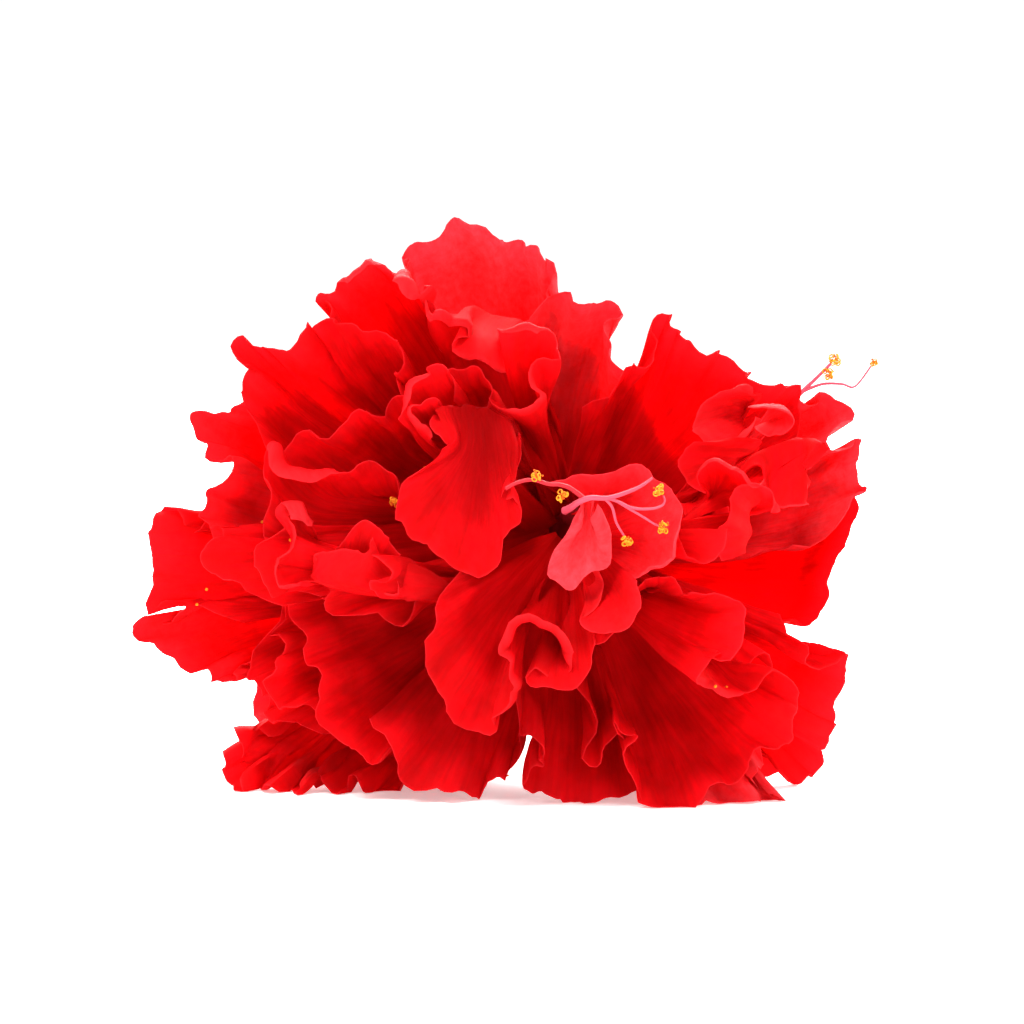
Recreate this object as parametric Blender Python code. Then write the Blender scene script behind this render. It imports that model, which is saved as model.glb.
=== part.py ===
"""A double red hibiscus bloom, picked and laid down on the rims of its lower petals.

The bloom faces -Y and its cut stalk points back along +Y. It stands on the plane Z = 0.
All sizes below are millimetres in the bloom's own frame, which is leaned back by LEAN:
X is across, Y is back from the front rims and Z is up. Each petal is one thin blade. Its
claw stands against the column, and its rim follows a few points set by hand.
"""

import math
import random

import bmesh
import bpy
from mathutils import Matrix, Vector
from mathutils.bvhtree import BVHTree

MM = 0.001
LEAN = math.radians(6.0)

# The column that the petals stand round, from its back end to its tip
COLUMN_BACK = Vector((10.0, 50.0, 41.0))
COLUMN_TIP = Vector((12.0, 6.0, 48.2))
COLUMN_BACK_RADIUS = 5.0
COLUMN_TIP_RADIUS = 1.6
FIRST_CLAW = 0.03
LAST_CLAW = 0.92
CLAW_ROOM = 12.0
LEAVING = math.radians(15.0)

# Blades
BLADE = 0.7
GAP = 0.35
RIM_STEPS = 12
LENGTH_STEPS = 5
SMALL_LENGTH_STEPS = 4
SOFT_TURNS = 3
LOBE_FADE = 5
SMALL_CLAW = 42
SMALL_RIM_STEPS = 7
PRESS = 0.05
LIE_FLAT = 0.9
SETTLE = 0.4

# Clearing a petal of those behind it
BEND_STEP = 0.5
BEND_TRIES = 90
BEND_SLOPE = 0.4
SPREAD_TURNS = 8
SMOOTH_TRIES = 60
SETTLE_TRIES = 3

# Green parts behind the bloom
COLUMN_STEPS = 8
COLUMN_SIDES = 16
CALYX_DEPTH = 11.0
CALYX_RADIUS = 9.0
CALYX_TEETH = 5
BRACTS = 7
BRACT_LENGTH = 15.0
STALK_LENGTH = 14.0
STALK_RADIUS = 1.7

# Stamens
ANTHER = 1.3
FILAMENT_SIDES = 6
REACH_TRIES = 40
SEED = 7

PETALS = [
    dict(name="guard_top", claw=60, hump=(0, 4, 4), wave=(1.2, 3), rim=[
        (-24, 35, 74), (-17, 33, 86), (-14.8, 32, 91.5), (-9.5, 31, 95.5), (-6.8, 30, 98.3),
        (-0.3, 31, 95.3), (0.5, 31, 93.2), (6.8, 31, 92.8), (8.3, 30, 89.5), (9.5, 31, 84),
        (17, 35, 74)]),
    dict(name="guard_upper_right", claw=45, hump=(0, 4, 2), wave=(1.0, 3), rim=[
        (0, 33, 78), (7, 29, 84.6), (13.5, 28, 84.8), (19, 28, 82.3), (18.2, 28, 79.8),
        (19.8, 27, 76.7), (20.8, 27, 72), (25, 30, 64), (30, 33, 58)]),
    dict(name="guard_right", claw=60, hump=(4, 8, 0), wave=(0.8, 4), rim=[
        (52, 24, 60), (57.5, 18, 56), (59.2, 16, 52), (58.6, 15, 44), (57, 15, 39),
        (54.5, 16, 34), (51, 17, 31), (47.5, 18, 30.2), (40, 23, 26), (32, 28, 22)]),
    dict(name="guard_lower_back", claw=50, wave=(0.0, 3), rim=[
        (1, 38, 19), (3, 46, 8), (10, 49, 5.0), (20, 50, 5.2), (30, 49, 5.1), (38, 46, 4.9),
        (42, 38, 13)],
        via=[(3, 28, 17), (10, 35, 3.2), (20, 36, 3.2), (29, 35, 3.2), (37, 28, 11)]),
    dict(name="guard_lower_back_left", claw=45, wave=(0.0, 3), rim=[
        (-41, 39, 21), (-40, 46, 9), (-34, 49, 5.0), (-26, 50, 5.2), (-16, 49, 5.1),
        (-7, 47, 5), (-3, 41, 14)],
        via=[(-34, 30, 18), (-29, 35, 3.2), (-20, 36, 3.2), (-11, 35, 3.2), (-4, 30, 12)]),
    dict(name="guard_lower_right", claw=50, hump=(4, 6, -2), wave=(1.0, 5), rim=[
        (46, 24, 33), (47.5, 22, 30.2), (51.3, 22, 25.3), (57.5, 22, 26.3), (56.5, 22, 19.7),
        (55.5, 23, 14), (54.7, 24, 9.8), (52.3, 25, 9), (53.5, 26, 5.5), (50.3, 27, 3),
        (48, 27, 5), (43.3, 27, 4), (36, 29, 3), (30, 32, 5)]),
    dict(name="guard_lower_left", claw=55, hump=(-4, 6, -4), wave=(1.0, 6), rim=[
        (-30, 28, 24), (-36, 24, 15), (-39.3, 22, 12.5), (-41, 21, 11), (-44.2, 20, 11),
        (-43.7, 20, 7.7), (-45.5, 19, 7.8), (-44.3, 18, 3.3), (-38, 16, 2.3), (-30, 15, 1.7),
        (-22, 14, 1.5), (-12, 14, 2), (-6, 18, 3)]),
    dict(name="guard_left", claw=45, hump=(-4, 8, 0), wave=(0.8, 4), rim=[
        (-36, 24, 38), (-44, 18, 36), (-50.7, 16, 33.3), (-55, 15, 31.5), (-58.7, 14.5, 32),
        (-60.8, 14, 29), (-59.2, 14, 26.5), (-55.8, 14, 26.5), (-50.7, 15, 21.8),
        (-47.9, 15, 21), (-45.7, 15, 20.2), (-42, 16, 23), (-36, 20, 20), (-30, 24, 17)]),
    dict(name="left_high", claw=44, hump=(-4, 8, 0), wave=(0.8, 4), rim=[
        (-42, 20, 54), (-48, 17, 49), (-53.3, 15, 47.3), (-56.5, 14, 48.8), (-58.7, 13, 45.3),
        (-57.7, 12, 41.8), (-58, 11.5, 36.5), (-58.3, 11, 33), (-54, 12, 34.2),
        (-50.5, 14, 33.2), (-42, 19, 30)]),
    dict(name="left_shoulder", claw=45, hump=(-4, 8, 0), wave=(0.8, 4), rim=[
        (-34, 22, 70), (-43.3, 17, 67), (-47.7, 15, 65.2), (-51.5, 14, 64), (-50, 14, 60.5),
        (-48.3, 14, 58), (-45.2, 14, 58.2), (-44.8, 14, 56), (-48.7, 13, 51.5),
        (-50.2, 14, 46.3), (-42, 18, 40), (-34, 22, 36)]),
    dict(name="right_shoulder", claw=44, hump=(4, 8, 0), wave=(0.8, 4), rim=[
        (40, 24, 66), (46, 21, 69), (53.3, 19, 68.7), (57.8, 18, 64.5), (55.6, 18, 61),
        (60, 17, 61), (59, 17, 57.5), (60.8, 16, 53.5), (57, 18, 47), (50, 22, 42)]),
    dict(name="upper_right", claw=50, hump=(2, 8, 2), wave=(1.0, 5), rim=[
        (14, 26, 66), (21.2, 24, 72.2), (24, 23, 74.8), (25.5, 22, 79.2), (27.5, 21, 81),
        (29.5, 21, 79), (34.5, 20, 75.7), (37, 20, 74.5), (41, 20, 71.8), (46.7, 19, 71),
        (49.5, 20, 69.5), (50, 23, 63), (47, 26, 57)]),
    dict(name="top_left_ruffle", claw=44, hump=(-1, 6, 2), wave=(1.2, 5), rim=[
        (-30, 22, 72), (-29.6, 17, 81), (-30.7, 17, 84.3), (-27.7, 16, 86.2), (-25, 16, 89.3),
        (-21.8, 16, 90.7), (-19.3, 17, 89.2), (-16.5, 17, 88.7), (-14.3, 15, 89.3),
        (-13.7, 14, 86.5), (-12, 14, 84), (-9, 18, 76)]),
    dict(name="upper_left", claw=50, hump=(-4, 10, -2), wave=(0.8, 5), rim=[
        (-38, 19, 58), (-43.3, 13, 64), (-43.3, 12, 70), (-41.5, 12, 73.7), (-44.6, 12, 76.2),
        (-42.8, 12, 78), (-38.5, 12, 74.4), (-35, 12, 76.5), (-33.3, 13, 79.5),
        (-32, 13, 78.6), (-25.8, 10, 79.3), (-22.5, 10, 78.5), (-19, 9, 79.2),
        (-15.8, 9, 76.5), (-17, 11, 72.5), (-13, 15, 66)]),
    dict(name="left_frill", claw=44, hump=(-2, 6, -2), wave=(0.8, 4), rim=[
        (-36, 16, 34), (-41.3, 14, 23), (-41.2, 13, 20.5), (-39.7, 13, 18.5),
        (-37.8, 13, 17.5), (-38.8, 13, 15.2), (-37.5, 13, 13.3), (-31, 14, 12),
        (-25, 16, 12)]),
    dict(name="left_frill_inner", claw=46, hump=(-2, 6, -2), wave=(0.8, 4), rim=[
        (-33, 12, 36), (-38.2, 9, 28.2), (-36.6, 8.5, 26.8), (-37.4, 8, 24.5),
        (-38.4, 8, 20.5), (-36.5, 8, 17.5), (-34.5, 8, 16), (-30, 9, 15)]),
    dict(name="lower_left", claw=45, hump=(-2, 8, -2), wave=(0.6, 3), rim=[
        (-31, 10, 40), (-33.5, 6, 35), (-33.8, 5, 30.7), (-32.2, 5, 27), (-32.4, 5, 23),
        (-31.3, 4, 19), (-29.3, 4, 15.2), (-26.7, 3, 10.7), (-24.5, 3, 8.5),
        (-21.2, 3, 7.5), (-18.3, 4, 9), (-16, 6, 12), (-10, 9, 15)]),
    dict(name="lower_left_front", claw=44, hump=(0, 8, -2), wave=(0.5, 4), rim=[
        (-22, 9, 14), (-17.3, 7, 9.7), (-16.3, 6, 6.5), (-12.5, 6, 3.4), (-8.3, 6, 2.5),
        (-5.5, 6, 2.6), (-3.8, 6, 0.8), (-2.4, 6, 2.5), (-1, 6, 4.2), (1.7, 6, 4.6),
        (2.7, 6, 10.5), (3.6, 6, 13.2), (5, 8, 19)]),
    dict(name="lower_centre", claw=44, hump=(0, 7, -2), wave=(0.5, 3), rim=[
        (1.5, 9, 24), (3.8, 5, 13.4), (6, 4, 10.3), (6.2, 3, 5.5), (5, 2.5, 3.7),
        (6.5, 2, 2.2), (10, 1.5, 0.9), (14, 1, 0.5), (19, 0.8, 0.3), (23, 1, 0.3),
        (27, 4, 4), (28, 8, 10)]),
    dict(name="foot_right", claw=40, hump=(2, 6, -2), wave=(0.4, 3), rim=[
        (26, 6, 6), (30, 3, 0.6), (38, 2, 0.2), (43, 2, 0.3), (46.8, 3, 0.9),
        (43.7, 5, 3.8), (43, 8, 8), (40, 11, 14)]),
    dict(name="notch_petaloid", claw=36, hump=(2, 6, 0), wave=(0.3, 2), rim=[
        (33, 11, 20), (34, 10, 22), (36.5, 9, 23.3), (39.5, 9, 23), (42, 9, 23.7),
        (43.8, 9, 24.2), (44.8, 10, 22.3)]),
    dict(name="lower_right", claw=50, hump=(2, 8, -2), wave=(0.5, 4), rim=[
        (13, 4, 22), (16.5, 0, 15.5), (15.3, -3, 8.6), (18.7, -4, 13.2), (22.8, -4, 12.2),
        (21.6, -3, 7.2), (22.3, -2, 0.4), (27, -2, 0.2), (32, -2, 1.5), (35.8, -3, 3.7),
        (41, -3, 6.5), (41.3, -3, 8.5), (46.3, -2, 10.2), (47.6, -2, 8.7), (48.3, -1, 14.7),
        (49.2, 0, 16.7), (44.5, -1, 20.7), (39.3, -3, 19.8), (33.8, -4, 20.3),
        (31.2, -4, 25)]),
    dict(name="right_fold", claw=45, hump=(2, 8, 0), wave=(0.5, 3), rim=[
        (33, 3, 22), (35, 1, 25.5), (37.7, 0, 27.5), (39.8, -1, 29.8), (40.7, -2, 32.3),
        (39.3, -2, 34.5), (35.5, -2, 36.7), (31.8, -1, 35.8), (29.8, 0, 37), (29.3, 0, 39.3),
        (27, 0, 40.8), (24.3, 1, 39.8), (22, 4, 36)]),
    dict(name="crest_wave", claw=46, wave=(0.5, 3), rim=[
        (-13, 13, 84), (-11, 11, 82), (-7, 10, 82.3), (-5.2, 9, 80), (-7.2, 7, 76.5),
        (-5, 6, 74.7), (0, 5, 72.8), (2.3, 5, 74), (3.4, 6, 76.5), (3.3, 8, 79)],
        via=[(-10, 30, 74), (-4, 28, 94), (4, 28, 96), (6, 30, 80)]),
    dict(name="crest_lobe_left", claw=40, hump=(-2, 5, 2), wave=(0.4, 3), rim=[
        (-16.5, 8, 64), (-16, 6, 69), (-13.5, 5, 71.3), (-11, 5, 72.5), (-9, 5, 74),
        (-7.2, 6, 72.8), (-6, 8, 69)]),
    dict(name="crest_lobe_middle", claw=40, hump=(0, 5, 2), wave=(0.4, 3), rim=[
        (-10.5, 8, 66), (-9.8, 6, 69.5), (-8, 5, 72), (-5, 5, 72.8), (-2.8, 5, 71),
        (-2, 6, 68), (-2, 8, 66)]),
    dict(name="crest_cup", claw=40, hump=(0, 3, 2), wave=(0.3, 3), rim=[
        (5.5, 10, 79.3), (9, 9, 75.2), (7.2, 8, 74), (7.8, 6, 70.5), (6.5, 4, 67.7),
        (3, 3, 66), (-0.3, 3, 67.2), (-2.2, 4, 70)]),
    dict(name="right_ruffle", claw=46, wave=(0.5, 3), rim=[
        (45, 15, 66), (39, 13, 68.7), (35.8, 12, 66.5), (32.3, 11, 63.2), (32.7, 11, 61),
        (31, 10, 59.5), (30.7, 10, 57.7), (32, 10, 55.3), (34.2, 10, 53.7), (36.2, 10, 51.5),
        (36.8, 10, 49.3), (36, 11, 47.8), (33, 12, 47.3)],
        via=[(50, 20, 68), (54, 19, 62), (56, 19, 56), (50, 20, 46)]),
    dict(name="right_cup", claw=36, wave=(0.4, 3), rim=[
        (44.5, 3, 54), (44.8, 1, 51), (46.8, 0, 50.2), (49.6, 0, 50.3), (50.6, 0, 51.7),
        (50, 1, 54), (50.5, 2, 56.3), (52, 3, 56.8)], hump=(4, 8, 0)),
    dict(name="right_arch", claw=36, wave=(0.4, 3), rim=[
        (34.2, 3, 53.5), (34.8, 1, 56.5), (38.5, 0, 58.4), (41.5, 0, 57.5), (42.5, 1, 55.5),
        (43.7, 2, 54.8)], hump=(4, 8, 6)),
    dict(name="right_arch_lower", claw=36, wave=(0.4, 3), rim=[
        (43.5, 2, 54), (41, 1, 53.7), (38.8, 1, 52), (38, 1, 49), (37.5, 1, 46),
        (36.7, 2, 43), (36, 4, 40.5)], hump=(2, 6, 0)),
    dict(name="right_low", claw=36, hump=(2, 5, 0), wave=(0.4, 3), rim=[
        (36, 4, 48), (36, 3, 44.8), (34.5, 3, 42), (31.5, 3, 41.8), (29.5, 4, 43),
        (29, 5, 47)]),
    dict(name="left_mid_lobe", claw=36, hump=(-2, 6, 0), wave=(0.4, 3), rim=[
        (-36, 12, 34), (-44, 10, 38), (-48, 9, 40), (-49.3, 8, 42.5), (-48, 8, 44.3),
        (-44.5, 8, 44.5), (-40.5, 8, 42.5), (-34, 10, 44)]),
    dict(name="left_flap", claw=46, hump=(-2, 6, 2), wave=(0.4, 3), rim=[
        (-30, 8, 40), (-38.3, 6, 47), (-39, 5, 53.8), (-38.3, 3, 57), (-37.2, 1, 59.7),
        (-33.3, 0, 57.8), (-28.5, 0, 56.2), (-23.3, 1, 55.8), (-20, 3, 54), (-16.7, 6, 52.3)]),
    dict(name="left_curl", claw=36, hump=(-2, 6, 0), wave=(0.4, 3), rim=[
        (-34, 8, 47), (-39.5, 6, 44), (-40.5, 5, 40), (-39, 4, 36.8), (-37, 4, 35.7),
        (-34, 5, 36), (-29, 7, 35)]),
    dict(name="left_low_lobe", claw=40, hump=(-2, 6, -1), wave=(0.4, 3), rim=[
        (-29, 4, 36), (-28.3, 2, 34), (-25, 1, 32.3), (-20, 0, 31.8), (-15.8, 0, 31.8),
        (-11.7, 0, 32.7), (-9.3, 0, 34.8), (-9, 2, 38)]),
    dict(name="left_roll", claw=40, hump=(-2, 5, 0), wave=(0.4, 3), rim=[
        (-26, 3, 36), (-31, 1, 37), (-33.8, 0, 36), (-35.8, 0, 36.8), (-35.3, -1, 40.5),
        (-34.9, -1, 43.5), (-37, -2, 47.7), (-35.8, -3, 49.8), (-33.8, -3, 50.5),
        (-31.5, -2, 48), (-27, 2, 47)]),
    dict(name="left_petaloid", claw=36, hump=(-2, 5, 0), wave=(0.4, 3), rim=[
        (-25, 1, 36), (-29, 0, 38), (-31.3, -1, 41), (-28, -3, 42.5), (-22.5, -3, 42.6),
        (-21.3, -3, 44), (-18, -1, 43)]),
    dict(name="left_petaloid_high", claw=36, hump=(-2, 5, 0), wave=(0.4, 3), rim=[
        (-27, 3, 43), (-24.3, 1, 46.5), (-23.2, 0, 47.6), (-20.8, 0, 47), (-18.7, 0, 45.2),
        (-17, 1, 43), (-14, 4, 41)]),
    dict(name="left_cup", claw=36, hump=(-2, 5, 0), wave=(0.3, 3), rim=[
        (-20, -2, 40.5), (-21.3, -3, 37.5), (-20.5, -4, 35), (-18, -4, 33.6),
        (-15.8, -4, 33.8), (-14.3, -3, 36), (-15.5, -2, 38.5)]),
    dict(name="behind_stamens", claw=46, hump=(2, 5, 1), wave=(0.5, 3), rim=[
        (9, 12, 56), (14, 8, 56.5), (19, 6, 57.5), (22.5, 5, 57.7), (24.8, 4, 56),
        (28.7, 2, 52.7), (30, 0, 48), (29.8, -1, 44), (28.3, -2, 42.7), (22.7, -1, 40.8),
        (21.5, 0, 38.5), (21.3, 2, 36.7), (17, 6, 34)]),
    dict(name="lower_lobe", claw=36, hump=(1, 4, 0), wave=(0.3, 3), rim=[
        (22, 5, 43), (23.3, 2, 39), (22.5, 0, 35.7), (20, -1, 32.8), (16.5, -1, 31.8),
        (13.3, 0, 33), (14.2, 2, 36.5), (13, 5, 40)]),
    dict(name="lower_left_centre", claw=45, hump=(-1, 7, 0), wave=(0.4, 3), rim=[
        (-6, 6, 40), (-9.2, 2, 36.5), (-11.3, 0, 32.3), (-12.2, -2, 27.3), (-11.7, -3, 22.3),
        (-9.2, -4, 19.7), (-8.8, -4, 16.7), (-5.3, -5, 13.3), (-2, -5, 12.3),
        (0.3, -6, 13.2), (1.8, -7, 16.7), (2.8, -8, 20.7), (0.2, -10, 26), (3.7, -8, 29),
        (8, -6, 28), (12, -5, 25.5), (12.8, -3, 24.5), (14, 0, 27)]),
    dict(name="pale_lobe", claw=34, hump=(1, 4, 2), wave=(0.3, 2), rim=[
        (17.5, 1, 47), (17, -1, 43), (15.7, -3, 39.2), (13.3, -4, 37.5), (11.5, -4, 36),
        (9.5, -4, 37), (8.3, -3, 38.7), (9, -2, 41.5), (11, 0, 45)]),
    dict(name="tongue", claw=42, lobe_fade=2.5, wave=(0.4, 3), rim=[
        (-6.5, 5, 66.5), (-8.4, 1, 63), (-9.2, -1, 60.2), (-9.6, -2, 58),
        (-12.7, -3, 56.8), (-16, -4, 53.3), (-17, -5, 48.7), (-13.3, -6, 44),
        (-9, -7, 41.5), (-4, -8, 38.7), (0, -7, 40.7), (1.3, -6, 45.5), (3, -5, 49),
        (0.8, -4, 52.5), (2.5, 0, 59), (3.3, 2, 63)],
        via=[(-1, 8, 63), (-1, 3, 76), (2, 2, 79), (5, 4, 72), (7, 5, 62)]),
]


# Sprays of stamens: does it grow from the column, filaments as (points, first radius, last
# radius), and anthers
STAMENS = [
    ("stamens", False, [
        ([(12.1, 5.3, 48.3), (12.6, -2, 49.6), (14.5, -5, 50.5), (18.2, -6, 50.8),
          (21, -6, 51.5), (23, -6, 52.8), (25.2, -6, 54.3)], 1.0, 0.45),
        ([(17, -6, 50.6), (19.5, -6, 50.6), (21.8, -6, 49.3), (24, -6, 49.1),
          (26.5, -6, 49.4), (27.1, -6, 50.6), (26.8, -6, 52)], 0.6, 0.4),
        ([(18.6, -6, 50.6), (20.7, -6, 49.9), (22.7, -6, 48), (24.5, -6, 47),
          (26.6, -6, 46.2)], 0.55, 0.4),
        ([(17.6, -6, 50.4), (18.6, -6, 49), (19.2, -6, 46.8), (20.4, -6, 44.6)], 0.5, 0.4),
        ([(14.5, -5, 50.4), (13.6, -5.4, 51.4), (12, -5.4, 52.6), (10.2, -5.4, 53),
          (8, -5, 53.2), (5.6, -4.6, 53.7), (3.6, -4.4, 53.5)], 0.6, 0.4)],
     [((26.5, -6, 52.2), ANTHER), ((27.1, -6, 46.2), ANTHER), ((20.8, -6, 43.8), ANTHER),
      ((6.5, -5, 54.5), ANTHER), ((10.4, -5.6, 51.9), ANTHER)]),
    ("stamens_right", False, [
        ([(49.5, 20, 67.6), (53.3, 20, 71.3), (56, 20, 73.8)], 0.5, 0.4),
        ([(51.5, 20, 69.7), (55.5, 20, 69.4), (59.7, 20, 69.5), (62.6, 20, 73.4)], 0.45, 0.35)],
     [((56.4, 20, 74.4), ANTHER), ((55.2, 20, 71.8), ANTHER), ((62.9, 20, 73.8), 0.7)]),
    ("stamens_left", False, [
        ([(-9, 8.5, 51.6), (-13, 8, 51.4), (-17, 7.5, 50.4)], 0.5, 0.4)],
     [((-17.6, 7.5, 50.2), ANTHER)]),
]


def lean(point):
    """A point of the bloom's own frame, leaned back on the surface."""
    return Matrix.Rotation(-LEAN, 3, "X") @ Vector(point)


def smooth_curve(points, count):
    """Count + 1 points, even in parameter, on the smooth curve through the given points."""
    spans = len(points) - 1
    curve = []
    for step in range(count + 1):
        place = step / count * spans
        span = min(int(place), spans - 1)
        t = place - span
        before = points[max(span - 1, 0)]
        start = points[span]
        end = points[span + 1]
        after = points[min(span + 2, spans)]
        curve.append(0.5 * (2 * start + (end - before) * t
                            + (2 * before - 5 * start + 4 * end - after) * t ** 2
                            + (3 * start - before - 3 * end + after) * t ** 3))
    return curve


def softened(points):
    """The same curve without its lobes and notches."""
    soft = list(points)
    for turn in range(SOFT_TURNS):
        soft = ([soft[0]]
                + [(before + 2 * point + after) / 4
                   for before, point, after in zip(soft, soft[1:], soft[2:])]
                + [soft[-1]])
    return soft


def is_small(petal):
    return petal["claw"] <= SMALL_CLAW


def rim_steps(petal):
    """Steps along a rim that land on each of its points."""
    spans = len(petal["rim"]) - 1
    wanted = SMALL_RIM_STEPS if is_small(petal) else RIM_STEPS
    return spans * max(1, round(wanted / spans))


def claw_arc(petal, place, aim, turn, count):
    """The claw's edge: an arc close round the column, on the side that the petal goes to."""
    back = lean(COLUMN_BACK)
    tip = lean(COLUMN_TIP)
    axis = (tip - back).normalized()
    centre = back.lerp(tip, place)
    radius = COLUMN_BACK_RADIUS + (COLUMN_TIP_RADIUS - COLUMN_BACK_RADIUS) * place
    radius += BLADE / 2 + 1.6 * GAP
    outward = aim - centre
    outward = (outward - axis * outward.dot(axis)).normalized()
    sideways = axis.cross(outward)
    arc = []
    for step in range(count + 1):
        angle = math.radians(petal["claw"]) * (2 * step / count - 1) * turn
        arc.append(centre + radius * (math.cos(angle) * outward + math.sin(angle) * sideways))
    return arc


def sweep(points, centre, axis):
    """+1 or -1: which way round the axis the points run."""
    total = 0.0
    for first, second in zip(points, points[1:]):
        total += (first - centre).cross(second - centre).dot(axis)
    return 1 if total > 0 else -1


def claw_span(petal):
    """The angles round the column, in degrees, between which a petal's claw stands."""
    back = lean(COLUMN_BACK)
    tip = lean(COLUMN_TIP)
    axis = (tip - back).normalized()
    upward = Vector((0, 0, 1))
    upward = (upward - axis * upward.dot(axis)).normalized()
    across = axis.cross(upward)
    points = [lean(point) for point in petal.get("via", petal["rim"])]
    aim = sum(points, Vector()) / len(points) - back.lerp(tip, 0.5)
    angle = math.degrees(math.atan2(aim.dot(across), aim.dot(upward)))
    return angle, petal["claw"] + CLAW_ROOM / 2


def claw_levels():
    """For each petal, how many claws stand behind its own at the same side of the column."""
    spans = [claw_span(petal) for petal in PETALS]
    levels = []
    for order, (angle, half) in enumerate(spans):
        level = 0
        for earlier in range(order):
            other_angle, other_half = spans[earlier]
            apart = abs((angle - other_angle + 180) % 360 - 180)
            if apart < half + other_half:
                level = max(level, levels[earlier] + 1)
        levels.append(level)
    return levels


def petal_net(petal, place, draw):
    """The petal's middle surface, as rows of points from the claw to the rim."""
    rim_points = [lean(point) for point in petal["rim"]]
    count = rim_steps(petal)
    rim = smooth_curve(rim_points, count)
    soft_rim = softened(rim)
    middle = sum(rim_points, Vector()) / len(rim_points)
    via_points = [lean(point) for point in petal.get("via", [])]
    aim = sum(via_points, Vector()) / len(via_points) if via_points else middle
    back = lean(COLUMN_BACK)
    tip = lean(COLUMN_TIP)
    centre = back.lerp(tip, place)
    turn = sweep(via_points or rim_points, centre, tip - back)
    claw = claw_arc(petal, place, aim, turn, count)
    if via_points:
        via = smooth_curve(via_points, count)
    else:
        hump = lean(petal["hump"])
        axis = (tip - back).normalized()
        via = []
        for start, end in zip(claw, soft_rim):
            outward = end - centre
            outward = (outward - axis * outward.dot(axis)).normalized()
            leaving = math.cos(LEAVING) * outward + math.sin(LEAVING) * axis
            via.append(start + leaving * (end - start).length * 0.5 + hump)
    height, waves = petal["wave"]
    phase = draw.uniform(0, 2 * math.pi)
    rows = []
    steps = SMALL_LENGTH_STEPS if is_small(petal) else LENGTH_STEPS
    for row in range(steps + 1):
        t = row / steps
        line = []
        for step in range(count + 1):
            point = ((1 - t) ** 2 * claw[step] + 2 * t * (1 - t) * via[step]
                     + t ** 2 * soft_rim[step]
                     + t ** petal.get("lobe_fade", LOBE_FADE) * (rim[step] - soft_rim[step]))
            ripple = height * math.sin(2 * math.pi * waves * step / count + phase) * t ** 2
            line.append(point + Vector((0, ripple, 0)))
        rows.append(line)
    return rows


def blade_faces(rows_count, columns_count):
    """Triangles of one face of a blade, as indices into its rows of points."""
    faces = []
    for row in range(rows_count - 1):
        for column in range(columns_count - 1):
            a = row * columns_count + column
            b = a + 1
            c = a + columns_count
            d = c + 1
            if (row + column) % 2:
                faces += [(a, b, d), (a, d, c)]
            else:
                faces += [(a, b, c), (b, d, c)]
    return faces


def blade_solid(rows, half):
    """Both faces of a blade of the given half thickness, for testing what it touches."""
    points = [point for line in rows for point in line]
    columns = len(rows[0])
    faces = blade_faces(len(rows), columns)
    normals = [Vector() for point in points]
    for a, b, c in faces:
        normal = (points[b] - points[a]).cross(points[c] - points[a])
        for corner in (a, b, c):
            normals[corner] += normal
    offsets = [half * normal.normalized() for normal in normals]
    upper = [point + offset for point, offset in zip(points, offsets)]
    lower = [point - offset for point, offset in zip(points, offsets)]
    count = len(points)
    border = [row * columns for row in range(len(rows))]
    border += [(len(rows) - 1) * columns + column for column in range(1, columns)]
    border += [row * columns + columns - 1 for row in reversed(range(len(rows) - 1))]
    border += [column for column in reversed(range(1, columns - 1))]
    solid = faces + [(a + count, c + count, b + count) for a, b, c in faces]
    for first, second in zip(border, border[1:] + border[:1]):
        solid += [(first, second, second + count), (first, second + count, first + count)]
    return upper + lower, solid


def on_surface(point):
    """Lays a blade's low places on the plane that the bloom lies on, pressed in a little."""
    low = point.z < BLADE / 2 + LIE_FLAT
    return Vector((point.x, point.y, BLADE / 2 - PRESS if low else point.z))


def neighbours(row, column, height, width):
    """The places next to one of a net's places, up, down, left and right."""
    near = ((row - 1, column), (row + 1, column), (row, column - 1), (row, column + 1))
    return [(r, c) for r, c in near if 0 <= r < height and 0 <= c < width]


def spread(lift, rows):
    """Lets a raised place draw up its neighbours, so that the blade bends and doesn't kink."""
    height = len(rows)
    width = len(rows[0])
    for turn in range(SPREAD_TURNS):
        for row in range(height):
            for column in range(width):
                best = lift[row][column]
                for other_row, other_column in neighbours(row, column, height, width):
                    length = (rows[row][column] - rows[other_row][other_column]).length
                    best = max(best, lift[other_row][other_column] - BEND_SLOPE * length)
                lift[row][column] = best


def crossings(rows):
    """Places of a net where its blade would cut through itself."""
    points, faces = blade_solid(rows, BLADE / 2)
    tree = BVHTree.FromPolygons(points, faces)
    count = len(rows) * len(rows[0])
    places = set()
    for first, second in tree.overlap(tree):
        if first < second and not set(faces[first]) & set(faces[second]):
            places.update(index % count for index in faces[first] + faces[second])
    return places


def smoothed_out(rows, places):
    """Draws the named places of a net halfway to the middle of their neighbours."""
    height = len(rows)
    width = len(rows[0])
    eased = [list(line) for line in rows]
    for place in places:
        row = place // width
        column = place % width
        if row in (0, height - 1):
            near = [(row, c) for c in (column - 1, column + 1)]
        elif column in (0, width - 1):
            near = [(r, column) for r in (row - 1, row + 1)]
        else:
            near = neighbours(row, column, height, width)
        if all(0 <= r < height and 0 <= c < width for r, c in near):
            middle = sum((rows[r][c] for r, c in near), Vector()) / len(near)
            eased[row][column] = (rows[row][column] + middle) / 2
    return eased


def untangled(rows):
    """Smooths a net where its blade would cut through itself."""
    for attempt in range(SMOOTH_TRIES):
        places = crossings(rows)
        if not places:
            break
        rows = smoothed_out(rows, places)
    return rows


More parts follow.
